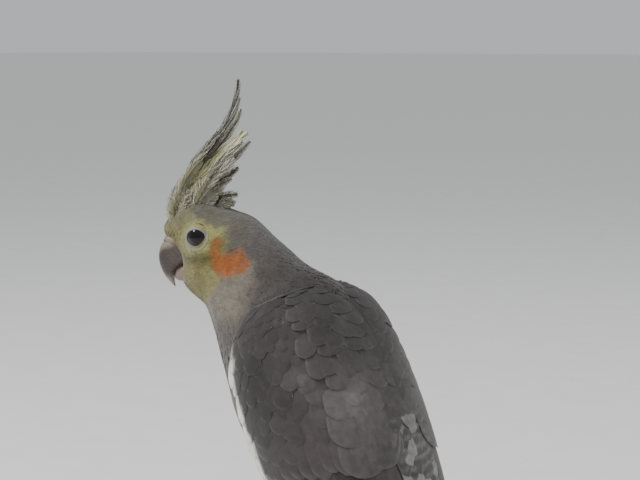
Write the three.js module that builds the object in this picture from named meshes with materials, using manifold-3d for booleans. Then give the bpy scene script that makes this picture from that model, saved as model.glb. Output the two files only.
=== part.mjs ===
// A life-size cockatiel, upright on a short length of round perch that a plain display stand holds.
// Millimetres, +Z up. The origin is the centre of the stand's underside. The bird's body faces -X,
// so its left side faces -Y, and its head is turned a little to its left.

import * as THREE from "three";
import { mergeVertices } from "three/addons/utils/BufferGeometryUtils.js";
import Module from "manifold-3d";

const wasm = await Module();
wasm.setup();

// Stand and perch
const GAP = 0.3; // clearance between one piece and the next
const BASE_RADIUS = 60;
const BASE_THICKNESS = 7;
const BASE_CHAMFER = 1.5;
const ROD_RADIUS = 3;
const ROD_SPREAD = 44; // each rod's distance from the middle of the perch
const PERCH_HEIGHT = 148; // floor to the perch's axis
const PERCH_RADIUS = 6.5;
const PERCH_LENGTH = 112;

// Pose of the bird
const BODY_TILT = 63; // degrees of the body's axis above the horizontal
const TAIL_TILT = 68; // degrees of the tail below the horizontal
const HEAD_YAW = 28; // degrees that the head turns to the bird's left
const HEAD_PITCH = -10; // degrees that the bill's line drops
const TORSO_CENTRE = new THREE.Vector3(-6, 0, 222);
const HEAD_CENTRE = new THREE.Vector3(-56, -4, 279.5);

// Flesh under the plumage: each mass is an ellipsoid, and the masses blend into one another.
// radii are along its frame's forward, up and left.
const BLEND = 9;
const TORSO_MASSES = [
  { name: "breast", along: 12, dorsal: -5.5, radii: [41, 28, 24.5] },
  { name: "belly", along: -24, dorsal: -1, radii: [50, 21, 20.5] },
  { name: "rump", along: -60, dorsal: 4, radii: [33, 11.5, 12] },
  { name: "shoulders", along: 24, dorsal: 6.5, radii: [22, 16, 20] },
  { name: "bib", along: 42, dorsal: -17, radii: [24, 13, 16] },
  { name: "mantle", along: 2, dorsal: 10.5, radii: [44, 15, 9] },
];
const UPPER_BREAST = { along: 34, dorsal: 0 };
const NECK_RADII = [23, 16.4, 15];
const NECK_SHARE = 0.49; // where the neck's middle lies between the head and the upper breast
const HEAD_MASSES = [
  { name: "skull", forward: -4.6, up: -1, radii: [11.7, 9.3, 13.3] },
  { name: "face", forward: 2.5, up: -1.9, radii: [5.2, 13.3, 12.5] },
  { name: "chin", forward: 3.8, up: -12.6, radii: [9.4, 6.4, 8.2] },
  { name: "brow", forward: 6.8, up: 4.8, radii: [10.8, 6.8, 6.3] },
];

// Counts of the faceted skin, and the shares of the spine where it is parted
const RINGS = 36;
const SIDES = 22;
const CAP_RINGS = 3;
const NECK_TOP = 0.17;
const NECK_FOOT = 0.31;
const TAIL_ROOT = 0.95;

// Bill, as curves in the head's middle plane: [forward, up] from the head's centre
const CULMEN = [[10, 3.8], [21.5, 5], [23.8, -6.4], [17.3, -15]];
const UPPER_EDGE = [[8, -7], [14, -7.4], [17.8, -10], [17, -14.7]];
const UPPER_HALF_WIDTHS = [4.9, 4.6, 3.6, 0.35];
const LOWER_KEEL = [[6.5, -12.6], [12, -14.2], [16.2, -13.6], [16.1, -11.6]];
const LOWER_RIM = [[6.5, -8.6], [12, -8], [14.9, -9.2], [15.8, -11.2]];
const LOWER_HALF_WIDTHS = [4.3, 4.2, 3.4, 1.2];
const BILL_RINGS = 9;
const BILL_SIDES = 12;
const CERE = { forward: 13.6, up: 1.6, radii: [4.2, 2.6, 4.8] };
const NOSTRIL = { forward: 16.8, up: 2.8, left: 2.6, radius: 0.9 };

// Eyes
const EYE_RADIUS = 4.5;
const EYE_OPENING = 3.1; // radius of the round that the lids leave
const EYE_FORWARD = 2.5;
const EYE_UP = 2.3;
const EYE_TOE_IN = 10; // degrees that each eye looks forward of square to the head
const EYE_PROUD = 1.1; // how far each eye stands out of the skin
const LID_TUBE = 0.8;

// Crest feathers: curves in the head's middle plane, [forward, up]. left is how far the root and the tip
// stand to the side, and twist turns the feather's width out of the sideways direction, in degrees.
const CREST = [
  { curve: [[13.5, 6], [13.8, 12], [11.5, 17.5], [7.5, 22]], left: [0, 0], width: 5, twist: 20 },
  { curve: [[13, 8], [12, 25], [-13.5, 29], [-18.5, 51]], left: [0.6, 1.2], width: 3.8, twist: 50 },
  { curve: [[12, 8], [10, 24], [-10, 29], [-16.5, 41.5]], left: [-1.4, -2.6], width: 4.4, twist: -50 },
  { curve: [[11, 8], [10, 24], [-4, 30], [-10.5, 38]], left: [2.4, 3.4], width: 4.6, twist: 60 },
  { curve: [[11, 8], [10, 22], [0, 28], [-6, 33]], left: [-3, -4.4], width: 4.4, twist: -60 },
  { curve: [[8, 9], [4, 22], [-8, 28], [-18.5, 33.8]], left: [1.6, 3.6], width: 4.4, twist: 55 },
  { curve: [[8, 9], [5, 21], [-6, 26], [-14.5, 31]], left: [-2, -4], width: 4.4, twist: -55 },
  { curve: [[5, 9], [1, 18], [-9, 24], [-18, 30.5]], left: [-0.6, -0.6], width: 5, twist: -40 },
  { curve: [[5, 9], [2, 16], [-6, 22], [-13, 26]], left: [2.8, 5], width: 4.6, twist: 55 },
  { curve: [[3, 9], [0, 15], [-6, 20], [-11.5, 22.5]], left: [-3, -5], width: 4.6, twist: -55 },
  { curve: [[2, 9], [-1, 14], [-5, 18], [-10.5, 19.5]], left: [1.2, 2], width: 5, twist: 35 },
  { curve: [[0, 9], [-2, 13], [-6, 14.5], [-10.5, 13.5]], left: [-1, -1.4], width: 5.4, twist: 15 },
];
const CREST_THICKNESS = 0.7;

// Wings: one patch for each wing, from the front of the shoulder to the wing's tip. At each share of that
// length, an arc runs from the edge over the back to the leading edge, by [left, dorsal] from the body.
const WING_ALONG = [45, -118];
const WING_ARCS = [
  { share: 0, inner: [6, 18], outer: [20, -2], bulge: 5 },
  { share: 0.05, inner: [4, 22.5], outer: [24, -7], bulge: 9.6 },
  { share: 0.13, inner: [3, 27], outer: [27, -12], bulge: 12.6 },
  { share: 0.3, inner: [3.6, 28.5], outer: [27.5, -14], bulge: 12.8 },
  { share: 0.5, inner: [3.8, 25.5], outer: [25, -11], bulge: 10.5 },
  { share: 0.7, inner: [2.8, 20], outer: [18, -3], bulge: 6 },
  { share: 0.85, inner: [2, 16], outer: [12.5, 2], bulge: 3 },
  { share: 1, inner: [1.4, 12.5], outer: [8.5, 5.5], bulge: 1.2 },
];
// Tiers of a wing, from the lowest to the topmost. roots and tips give [share, across] on the wing for the
// first vane and the last, lift is the height of root and tip over the patch, step is how much higher each
// next vane lies, and tilt raises a vane's outer edge and lowers its inner one.
const WING_TIERS = [
  {
    name: "primaries",
    count: 6,
    roots: [[0.42, 0.88], [0.42, 0.5]],
    tips: [[1, 0.8], [0.8, 0.3]],
    width: 11,
    lift: [-4, -2.6],
    step: 0.42,
    tilt: 0.1,
  },
  {
    name: "secondaries",
    count: 4,
    roots: [[0.4, 0.84], [0.36, 0.46]],
    tips: [[0.67, 0.84], [0.75, 0.32]],
    width: 16,
    lift: [-2.4, -0.9],
    step: 0.3,
    tilt: 0.25,
  },
  {
    name: "tertials",
    count: 2,
    roots: [[0.36, 0.36], [0.34, 0.16]],
    tips: [[0.72, 0.26], [0.6, 0.12]],
    width: 18,
    lift: [-2, 0.4],
    step: 0.4,
    tilt: 0.2,
  },
  {
    name: "greater coverts",
    count: 6,
    roots: [[0.28, 0.92], [0.28, 0.34]],
    tips: [[0.46, 0.92], [0.5, 0.36]],
    width: 15,
    lift: [-2.2, 0.2],
    step: 0.06,
    tilt: 0.4,
  },
  {
    name: "median coverts",
    count: 5,
    roots: [[0.17, 0.88], [0.18, 0.34]],
    tips: [[0.33, 0.9], [0.37, 0.34]],
    width: 16,
    lift: [-2.2, 0.5],
    step: 0.06,
    tilt: 0.4,
  },
  {
    name: "scapulars",
    count: 3,
    roots: [[0.26, 0.14], [0.1, 0.2]],
    tips: [[0.42, 0.18], [0.26, 0.22]],
    width: 17,
    lift: [-1.6, 1],
    step: 0.3,
    tilt: 0.3,
  },
];

// The body of a wing under its vanes. height and depth give [share, distance] from the patch to each face.
const WING_CORE = {
  shares: [0.01, 0.78],
  across: [0.03, 0.97],
  rows: 9,
  cols: 7,
  round: 0.13, // how much further back the core begins at its two edges
  height: [[0, -2.6], [0.06, -1], [0.14, -0.3], [0.8, -0.3]],
  depth: [[0, 9], [0.35, 11], [0.6, 7], [0.8, 3]],
};

const VANE = 0.7; // thickness of a vane
const VANE_TIMES = [0, 0.45, 0.88, 1];
const VANE_WIDTHS = [0.65, 1, 0.84, 0.34];

// Tail: six pairs of long vanes, from the middle pair outwards and down, and coverts over their roots
const TAIL_LENGTH = 157; // from the tail's root to its tip
const TAIL_PAIRS = [
  { length: 1, left: [1.2, 1.8], dorsal: 0.6 },
  { length: 0.93, left: [2.2, 4], dorsal: -0.2 },
  { length: 0.83, left: [3.2, 6.4], dorsal: -1 },
  { length: 0.73, left: [4, 8.6], dorsal: -1.8 },
  { length: 0.63, left: [4.8, 10.4], dorsal: -2.6 },
  { length: 0.54, left: [5.4, 11.8], dorsal: -3.4 },
];
const TAIL_VANE_WIDTH = 11;
const TAIL_STEP = 0.4; // how far the right vane of a pair lies under the left one
const TAIL_COVERTS = [
  { left: [-3.6, -4.6], dorsal: [6, 0.8], length: 26, width: 11 },
  { left: [3.6, 4.6], dorsal: [6, 1.2], length: 30, width: 11 },
  { left: [-3.6, -4.6], dorsal: [-6.5, -4.4], length: 42, width: 12 },
  { left: [3.6, 4.6], dorsal: [-7, -4.8], length: 50, width: 12 },
];

// Legs and feet. Each leg is a run of [x, side, z] with its radius.
const LEG = [
  [2, 10, 192, 7],
  [2.5, 11, 182, 8],
  [4, 11.6, 174, 6.4],
  [5, 12, 168.5, 4.4],
  [5, 12, 166.4, 2.6],
];
const TARSUS = [
  [4.2, 12, 165.6, 2.3],
  [2.4, 12, 161.6, 2.2],
  [0.6, 12, 158.2, 2.5],
  [0, 12, 156.8, 2.4],
];
const FOOT_SIDE = 12;
const TOE_RADIUS = 1.75;
const TOES = [
  { name: "front_inner", way: -1, side: -3.4, reach: 84 },
  { name: "front_outer", way: -1, side: 3.6, reach: 104 },
  { name: "back_inner", way: 1, side: -3, reach: 70 },
  { name: "back_outer", way: 1, side: 3.6, reach: 92 },
];
const CLAW_REACH = 34; // degrees round the perch
const CLAW_LIFT = 1.2; // how far a claw's tip stands out from the toe's line

const radians = THREE.MathUtils.degToRad;
const lerp = THREE.MathUtils.lerp;
const vec = (x, y, z) => new THREE.Vector3(x, y, z);
const LEFT = vec(0, -1, 0);

// A frame of three unit vectors: forward (or along), left and up (or dorsal).
function frameOf(forward, left) {
  const f = forward.clone().normalize();
  const u = f.clone().cross(left).normalize();
  return { forward: f, left: u.clone().cross(f), up: u };
}

function turned(yaw, pitch) {
  const y = radians(yaw);
  const p = radians(pitch);
  const forward = vec(-Math.cos(y) * Math.cos(p), -Math.sin(y) * Math.cos(p), Math.sin(p));
  return frameOf(forward, vec(Math.sin(y), -Math.cos(y), 0));
}

const BODY = frameOf(vec(-Math.cos(radians(BODY_TILT)), 0, Math.sin(radians(BODY_TILT))), LEFT);
const HEAD = turned(HEAD_YAW, HEAD_PITCH);
const TAIL = frameOf(vec(-Math.cos(radians(TAIL_TILT)), 0, Math.sin(radians(TAIL_TILT))), LEFT);

// The point at the given distances along a frame's forward, left and up from an origin.
function at(frame, origin, forward, left, up) {
  return origin
    .clone()
    .addScaledVector(frame.forward, forward)
    .addScaledVector(frame.left, left)
    .addScaledVector(frame.up, up);
}

const onHead = (forward, left, up) => at(HEAD, HEAD_CENTRE, forward, left, up);
const onBody = (along, left, dorsal) => at(BODY, TORSO_CENTRE, along, left, dorsal);

// Distance from an ellipsoid, negative inside. radii are along, up (or dorsal) and left.
function ellipsoid(centre, frame, [along, up, left]) {
  return (p) => {
    const d = p.clone().sub(centre);
    const x = d.dot(frame.forward);
    const y = d.dot(frame.up);
    const z = d.dot(frame.left);
    const near = Math.hypot(x / along, y / up, z / left);
    const slope = Math.hypot(x / along ** 2, y / up ** 2, z / left ** 2);
    return slope < 1e-9 ? -Math.min(along, up, left) : (near * (near - 1)) / slope;
  };
}

function smoothMin(a, b, blend) {
  const h = Math.max(blend - Math.abs(a - b), 0) / blend;
  return Math.min(a, b) - (h * h * blend) / 4;
}

function neckMass() {
  const upper = onBody(UPPER_BREAST.along, 0, UPPER_BREAST.dorsal);
  const centre = HEAD_CENTRE.clone().lerp(upper, NECK_SHARE);
  return ellipsoid(centre, frameOf(HEAD_CENTRE.clone().sub(upper), LEFT), NECK_RADII);
}

const masses = [
  ...TORSO_MASSES.map((m) => ellipsoid(onBody(m.along, 0, m.dorsal), BODY, m.radii)),
  neckMass(),
  ...HEAD_MASSES.map((m) => ellipsoid(onHead(m.forward, 0, m.up), HEAD, m.radii)),
];

// Distance from the flesh, negative inside.
const flesh = (p) => masses.map((mass) => mass(p)).reduce((a, b) => smoothMin(a, b, BLEND));

// The line that the skin is built around, from the face back through the neck to the root of the tail
const spine = new THREE.CatmullRomCurve3(
  [
    onHead(7, 0, -3),
    onHead(-2, 0, -3),
    HEAD_CENTRE.clone().lerp(onBody(34, 0, 2), 0.5),
    onBody(30, 0, 2),
    onBody(0, 0, 0),
    onBody(-35, 0, 1),
    onBody(-60, 0, 4),
    onBody(-80, 0, 5),
  ],
  false,
  "centripetal",
);

function turnOf(frame) {
  return new THREE.Quaternion().setFromRotationMatrix(
    new THREE.Matrix4().makeBasis(frame.forward, frame.left, frame.up),
  );
}

const HEAD_TURN = turnOf(HEAD);
const BODY_TURN = turnOf(BODY);
const NECK_BEND = [0, 0.4]; // shares of the spine where the head's frame turns into the body's

// The section of the body at a share of the spine: its middle, its dorsal and left directions, and the
// way to the tail
function sectionAt(share) {
  const turn = HEAD_TURN.clone().slerp(BODY_TURN, THREE.MathUtils.smoothstep(share, ...NECK_BEND));
  return {
    middle: spine.getPointAt(share),
    dorsal: vec(0, 0, 1).applyQuaternion(turn),
    left: vec(0, 1, 0).applyQuaternion(turn),
    tailward: vec(-1, 0, 0).applyQuaternion(turn),
  };
}

// The point where a ray from inside the flesh meets the surface that lies the given offset outside it
function meet(origin, direction, offset) {
  let inside = 0;
  let step = 0;
  const probe = (r) => flesh(origin.clone().addScaledVector(direction, r)) - offset;
  for (step = 1; probe(step) < 0; step += 1) inside = step;
  let outside = step;
  for (let k = 0; k < 14; k++) {
    const mid = (inside + outside) / 2;
    if (probe(mid) < 0) inside = mid;
    else outside = mid;
  }
  return origin.clone().addScaledVector(direction, (inside + outside) / 2);
}

// A point of the skin. around is the angle from the dorsal line towards the left, and lean tips the ray
// along the spine.
function skinPoint(share, around, offset = 0, lean = 0) {
  const s = sectionAt(share);
  const ray = s.dorsal
    .clone()
    .multiplyScalar(Math.cos(around))
    .addScaledVector(s.left, Math.sin(around))
    .multiplyScalar(Math.cos(lean))
    .addScaledVector(s.tailward, Math.sin(lean));
  return meet(s.middle, ray, offset);
}

// A closed geometry over rings of points, from a first pole to a last one
function overRings(first, rings, last) {
  const n = rings[0].length;
  const points = [first, ...rings.flat(), last];
  const end = points.length - 1;
  const faces = [];
  for (let j = 0; j < n; j++) {
    const next = (j + 1) % n;
    faces.push(0, 1 + next, 1 + j);
    for (let i = 0; i < rings.length - 1; i++) {
      const a = 1 + i * n;
      const b = a + n;
      faces.push(a + j, a + next, b + j, a + next, b + next, b + j);
    }
    faces.push(end, end - n + j, end - n + next);
  }
  return geometryOf(points, faces);
}

function geometryOf(points, faces) {
  const geometry = new THREE.BufferGeometry().setFromPoints(points);
  geometry.setIndex(faces);
  return geometry;
}

function skinGeometry(offset) {
  const quarter = Math.PI / 2;
  const ringAt = (share, lean) =>
    Array.from({ length: SIDES }, (_, j) => skinPoint(share, (2 * Math.PI * j) / SIDES, offset, lean));
  const rings = [];
  for (let i = 1; i < CAP_RINGS; i++) rings.push(ringAt(0, (i / CAP_RINGS - 1) * quarter));
  for (let i = 0; i <= RINGS; i++) rings.push(ringAt(i / RINGS, 0));
  for (let i = 1; i < CAP_RINGS; i++) rings.push(ringAt(1, (i / CAP_RINGS) * quarter));
  return overRings(skinPoint(0, 0, offset, -quarter), rings, skinPoint(1, 0, offset, quarter));
}

// The manifold-3d solid of a closed geometry
function solid(geometry) {
  const bare = geometry.clone();
  bare.deleteAttribute("normal");
  bare.deleteAttribute("uv");
  const merged = mergeVertices(bare, 1e-3);
  const made = new wasm.Manifold(
    new wasm.Mesh({
      numProp: 3,
      vertProperties: new Float32Array(merged.getAttribute("position").array),
      triVerts: new Uint32Array(merged.index.array),
    }),
  );
  if (made.volume() > 0) return made;
  const turnedFaces = merged.index.array.slice().reverse();
  return new wasm.Manifold(
    new wasm.Mesh({
      numProp: 3,
      vertProperties: new Float32Array(merged.getAttribute("position").array),
      triVerts: new Uint32Array(turnedFaces),
    }),
  );
}

const union = (solids) => solids.reduce((a, b) => a.add(b));
const outermost = (s) => s.decompose().reduce((a, b) => (a.volume() > b.volume() ? a : b));

function geometryFrom(made) {
  const { vertProperties, triVerts } = made.getMesh();
  const geometry = new THREE.BufferGeometry();
  geometry.setAttribute("position", new THREE.BufferAttribute(vertProperties, 3));
  geometry.setIndex(new THREE.BufferAttribute(triVerts, 1));
  return geometry;
}

// The largest closed surface, once before and once after points that nearly meet are merged
const largest = (s) => outermost(solid(geometryFrom(outermost(s))));

// A thin slab across the spine at a share of its length, which parts the body there
function cutAt(share) {
  const s = sectionAt(share);
  const slab = new THREE.BoxGeometry(90, 90, GAP);
  const facing = new THREE.Quaternion().setFromUnitVectors(vec(0, 0, 1), s.tailward);
  slab.applyQuaternion(facing);
  slab.translate(s.middle.x, s.middle.y, s.middle.z);
  return solid(slab);
}

// A thin slab along the body's middle plane, which keeps the two wings apart
const midline = solid(new THREE.BoxGeometry(300, 2 * GAP, 400).translate(0, 0, 200));

const whole = solid(skinGeometry(0));
const clear = solid(skinGeometry(GAP)); // what must keep clear of the skin is cut by this
const parted = whole
  .subtract(cutAt(NECK_TOP))
  .subtract(cutAt(NECK_FOOT))
  .subtract(cutAt(TAIL_ROOT))
  .decompose();

const group = new THREE.Group();

function addMesh(name, made, colour, roughness = 0.8) {
  const geometry = geometryFrom(made);
  geometry.computeVertexNormals();
  const material = new THREE.MeshStandardMaterial({ color: colour, roughness, metalness: 0 });
  const mesh = new THREE.Mesh(geometry, material);
  mesh.name = name;
  group.add(mesh);
}

// A smooth value through knots of [x, y] in order of x
function through(knots, x) {
  const last = knots.length - 1;
  const k = Math.min(Math.max(knots.findIndex((knot) => knot[0] > x) - 1, 0), last - 1);
  const i = x >= knots[last][0] ? last - 1 : k;
  const slope = (j) => {
    const a = knots[Math.max(j - 1, 0)];
    const b = knots[Math.min(j + 1, last)];
    return (b[1] - a[1]) / (b[0] - a[0]);
  };
  const [x0, y0] = knots[i];
  const [x1, y1] = knots[i + 1];
  const t = (x - x0) / (x1 - x0);
  const w = x1 - x0;
  const t2 = t * t;
  const t3 = t2 * t;
  return (
    (2 * t3 - 3 * t2 + 1) * y0 +
    (t3 - 2 * t2 + t) * w * slope(i) +
    (3 * t2 - 2 * t3) * y1 +
    (t3 - t2) * w * slope(i + 1)
  );
}

// A closed plate between two grids of points, top[i][j] and bottom[i][j], split alike on both faces
function plate(top, bottom) {
  const rows = top.length;
  const cols = top[0].length;
  const points = [...top.flat(), ...bottom.flat()];
  const under = rows * cols;
  const at = (i, j) => i * cols + j;
  const faces = [];
  for (let i = 0; i < rows - 1; i++) {
    for (let j = 0; j < cols - 1; j++) {
      const [a, b, c, d] = [at(i, j), at(i, j + 1), at(i + 1, j), at(i + 1, j + 1)];
      faces.push(a, b, c, b, d, c);
      faces.push(under + a, under + c, under + b, under + b, under + c, under + d);
    }
  }
  const edge = [];
  for (let j = 0; j < cols - 1; j++) edge.push(at(0, j));
  for (let i = 0; i < rows - 1; i++) edge.push(at(i, cols - 1));
  for (let j = cols - 1; j > 0; j--) edge.push(at(rows - 1, j));
  for (let i = rows - 1; i > 0; i--) edge.push(at(i, 0));
  edge.forEach((a, k) => {
    const b = edge[(k + 1) % edge.length];
    faces.push(a, under + a, b, b, under + a, under + b);
  });
  return solid(geometryOf(points, faces));
}

// The arc across the wing at a share of its length: its middle, radius, half angle and two directions
const knotsOf = (value) => WING_ARCS.map((arc) => [arc.share, value(arc)]);
const WING_EDGES = ["inner", "outer"].map((edge) => [0, 1].map((k) => knotsOf((arc) => arc[edge][k])));
const WING_BULGE = knotsOf((arc) => arc.bulge);

function wingArc(share) {
  const [inner, outer] = WING_EDGES.map(
    ([left, dorsal]) => new THREE.Vector2(through(left, share), through(dorsal, share)),
  );
  const bulge = through(WING_BULGE, share);
  const chord = outer.clone().sub(inner);
  const half = chord.length() / 2;
  const radius = (half * half + bulge * bulge) / (2 * bulge);
  const along = chord.normalize();
  const out = new THREE.Vector2(-along.y, along.x);
  return {
    centre: inner.clone().addScaledVector(along, half).addScaledVector(out, bulge - radius),
    radius,
    halfAngle: Math.asin(Math.min(half / radius, 1)),
    along,
    out,
  };
}

// A point of the wing's patch: share runs to the wing's tip, and across from the back to the leading edge
function wingPoint(side, share, across, height) {
  const arc = wingArc(Math.min(Math.max(share, 0), 1));
  const angle = (2 * across - 1) * arc.halfAngle;
  const flat = arc.centre
    .clone()
    .addScaledVector(arc.out, Math.cos(angle) * (arc.radius + height))
    .addScaledVector(arc.along, Math.sin(angle) * (arc.radius + height));
  return onBody(lerp(...WING_ALONG, share), side * flat.x, flat.y);
}

function wingVane(side, { root, tip, width, lift, tilt }) {
  const face = (extra) =>
    VANE_TIMES.map((time, i) => {
      const share = lerp(root[0], tip[0], time);
      const arc = wingArc(Math.min(share, 1));
      const spread = (width * VANE_WIDTHS[i]) / 2 / (2 * arc.halfAngle * arc.radius);
      return [-1, 0, 1].map((j) => {
        const height = lerp(lift[0], lift[1], time) + extra + tilt * j + 0.25 * (1 - j * j);
        return wingPoint(side, share, lerp(root[1], tip[1], time) + j * spread, height);
      });
    });
  return plate(face(VANE), face(0));
}

function wingCore(side) {
  const { shares, across, rows, cols, round, height, depth } = WING_CORE;
  const grid = (heightAt) =>
    Array.from({ length: rows }, (_, i) =>
      Array.from({ length: cols }, (_, j) => {
        const out = j / (cols - 1);
        const start = shares[0] + round * Math.abs(2 * out - 1) ** 2.4;
        const share = lerp(start, shares[1], i / (rows - 1));
        return wingPoint(side, share, lerp(...across, out), heightAt(share));
      }),
    );
  return plate(grid((share) => through(height, share)), grid((share) => -through(depth, share)));
}

function wing(side) {
  const vanes = WING_TIERS.flatMap((tier) =>
    Array.from({ length: tier.count }, (_, k) => {
      const t = tier.count > 1 ? k / (tier.count - 1) : 0;
      const mix = ([first, last]) => first.map((value, axis) => lerp(value, last[axis], t));
      return wingVane(side, {
        root: mix(tier.roots),
        tip: mix(tier.tips),
        width: tier.width,
        tilt: tier.tilt,
        lift: tier.lift.map((h) => h + tier.step * k),
      });
    }),
  );
  return largest(union([wingCore(side), ...vanes]).subtract(clearOfWings));
}

function bezier(points, t) {
  const u = 1 - t;
  const weights = [u ** 3, 3 * u * u * t, 3 * u * t * t, t ** 3];
  return [0, 1].map((k) => points.reduce((sum, point, i) => sum + weights[i] * point[k], 0));
}

const series = (values, t) => through(values.map((value, i) => [i / (values.length - 1), value]), t);

// A mandible between two curves: rings that run from one to the other, as wide as the half widths say
function mandible(top, bottom, halfWidths, square) {
  const rings = Array.from({ length: BILL_RINGS }, (_, i) => {
    const t = i / (BILL_RINGS - 1);
    const [a, b] = [bezier(top, t), bezier(bottom, t)];
    const half = series(halfWidths, t);
    return Array.from({ length: BILL_SIDES }, (_, j) => {
      const angle = (2 * Math.PI * j) / BILL_SIDES;
      const rise = (1 + Math.cos(angle)) / 2;
      const out = Math.sign(Math.sin(angle)) * Math.abs(Math.sin(angle)) ** square;
      return onHead(lerp(b[0], a[0], rise), half * out, lerp(b[1], a[1], rise));
    });
  });
  const sumOf = (ring) => ring.reduce((sum, p) => sum.add(p), vec(0, 0, 0));
  const [first, last] = [rings[0], rings.at(-1)].map((ring) => sumOf(ring).divideScalar(BILL_SIDES));
  return solid(overRings(first, rings, last));
}

// A closed tube through centres, with a radius at each, and rings square to the path
function tube(centres, radii, sides, across) {
  const rings = centres.map((centre, i) => {
    const ahead = centres[Math.min(i + 1, centres.length - 1)];
    const behind = centres[Math.max(i - 1, 0)];
    const way = ahead.clone().sub(behind).normalize();
    const up = way.clone().cross(across).normalize();
    const out = up.clone().cross(way);
    return Array.from({ length: sides }, (_, j) => {
      const angle = (2 * Math.PI * j) / sides;
      return centre
        .clone()
        .addScaledVector(up, Math.cos(angle) * radii[i])
        .addScaledVector(out, Math.sin(angle) * radii[i]);
    });
  });
  return solid(overRings(centres[0], rings, centres.at(-1)));
}

function ball(centre, frame, [forward, up, left], columns, rows) {
  const sphere = new THREE.SphereGeometry(1, columns, rows);
  sphere.scale(left, up, forward);
  sphere.applyMatrix4(new THREE.Matrix4().makeBasis(frame.left, frame.up, frame.forward));
  sphere.translate(centre.x, centre.y, centre.z);
  return solid(sphere);
}

function eyeOf(side) {
  const toe = radians(EYE_TOE_IN);
  const axis = HEAD.left
    .clone()
    .multiplyScalar(side * Math.cos(toe))
    .addScaledVector(HEAD.forward, Math.sin(toe));
  const surface = meet(onHead(EYE_FORWARD, 0, EYE_UP), HEAD.left.clone().multiplyScalar(side), 0);
  const centre = surface.addScaledVector(axis, EYE_PROUD - EYE_RADIUS);
  return { centre, axis, frame: frameOf(axis, HEAD.forward) };
}

function lidOf({ centre, axis }) {
  const major = EYE_OPENING + LID_TUBE;
  const ring = new THREE.TorusGeometry(major, LID_TUBE, 6, 18);
  ring.applyQuaternion(new THREE.Quaternion().setFromUnitVectors(vec(0, 0, 1), axis));
  const middle = centre.clone().addScaledVector(axis, Math.sqrt(EYE_RADIUS ** 2 - major ** 2) + GAP);
  ring.translate(middle.x, middle.y, middle.z);
  return solid(ring);
}

function crestVane({ curve, left, width, twist }) {
  const face = (side) =>
    VANE_TIMES.map((time, i) => {
      const [f, u] = bezier(curve, time);
      const [f1, u1] = bezier(curve, Math.min(time + 0.01, 1.01));
      const ahead = HEAD.forward.clone().multiplyScalar(f1 - f);
      const way = ahead.addScaledVector(HEAD.up, u1 - u).normalize();
      const turn = radians(twist);
      const across = HEAD.left.clone().multiplyScalar(Math.cos(turn));
      across.addScaledVector(way.clone().cross(HEAD.left), Math.sin(turn));
      const normal = way.clone().cross(across);
      const centre = onHead(f, lerp(left[0], left[1], time), u);
      return [-1, 0, 1].map((j) =>
        centre
          .clone()
          .addScaledVector(across, (j * width * VANE_WIDTHS[i]) / 2)
          .addScaledVector(normal, (side * CREST_THICKNESS) / 2 + 0.3 * (1 - j * j)),
      );
    });
  return plate(face(1), face(-1));
}

const TAIL_BASE = onBody(-80, 0, 4);

function tailVane({ length, left, dorsal, width }, grown = 0) {
  const face = (extra) =>
    VANE_TIMES.map((time, i) =>
      [-1, 0, 1].map((j) =>
        at(
          TAIL,
          TAIL_BASE,
          lerp(6 + grown, -length - grown, time),
          lerp(left[0], left[1], time) + j * ((width * VANE_WIDTHS[i]) / 2 + grown),
          lerp(dorsal[0], dorsal[1], time) + extra + 0.3 * (1 - j * j),
        ),
      ),
    );
  return plate(face(VANE + grown), face(-grown));
}

function tailVanes(grown = 0) {
  const long = TAIL_PAIRS.flatMap(({ length, left, dorsal }) =>
    [1, -1].map((side) => {
      const height = dorsal - (side < 0 ? TAIL_STEP : 0);
      const vane = {
        length: length * TAIL_LENGTH,
        left: left.map((l) => side * l),
        dorsal: [height, height],
        width: TAIL_VANE_WIDTH,
      };
      return tailVane(vane, grown);
    }),
  );
  return [...long, ...TAIL_COVERTS.map((covert) => tailVane(covert, grown))];
}

const acrossPerch = vec(0, 1, 0);

function limb(side, run) {
  const centres = run.map(([x, y, z]) => vec(x, -side * y, z));
  return tube(
    centres,
    run.map((stop) => stop[3]),
    12,
    acrossPerch,
  );
}

function roundPerch(side, toe, degrees, radius) {
  const angle = radians(degrees);
  const spread = toe.side * Math.min(degrees / 60, 1);
  return vec(
    toe.way * Math.sin(angle) * radius,
    -side * (FOOT_SIDE + spread),
    PERCH_HEIGHT + Math.cos(angle) * radius,
  );
}

const TOE_LINE = PERCH_RADIUS + GAP + TOE_RADIUS;

function toeOf(side, toe) {
  const steps = 6;
  const turns = Array.from({ length: steps }, (_, i) => lerp(-6, toe.reach, i / (steps - 1)));
  const swell = [0.85, 1, 0.9, 1, 0.92, 0.7];
  return tube(
    turns.map((turn) => roundPerch(side, toe, turn, TOE_LINE)),
    swell.map((share) => share * TOE_RADIUS),
    7,
    acrossPerch,
  );
}

function clawOf(side, toe) {
  const steps = 4;
  const start = toe.reach + 3.4;
  return tube(
    Array.from({ length: steps }, (_, i) => {
      const t = i / (steps - 1);
      return roundPerch(side, toe, start + CLAW_REACH * t, TOE_LINE + CLAW_LIFT * t * t);
    }),
    [1.05, 0.85, 0.55, 0.2],
    6,
    acrossPerch,
  );
}

function post(x, y, from, to, radius, sides) {
  const made = new THREE.CylinderGeometry(radius, radius, to - from, sides);
  made.rotateX(Math.PI / 2);
  made.translate(x, y, (from + to) / 2);
  return solid(made);
}

function spindle(outline, sides) {
  return new THREE.LatheGeometry(outline.map(([r, y]) => new THREE.Vector2(r, y)), sides);
}

const clearOfWings = union([clear, midline, ...tailVanes(GAP)]);
const middleHeight = (s) => (s.boundingBox().min[2] + s.boundingBox().max[2]) / 2;
const [head, neck, torso, rump] = parted.sort((a, b) => middleHeight(b) - middleHeight(a));
const sides = [
  ["left", 1],
  ["right", -1],
];

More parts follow.
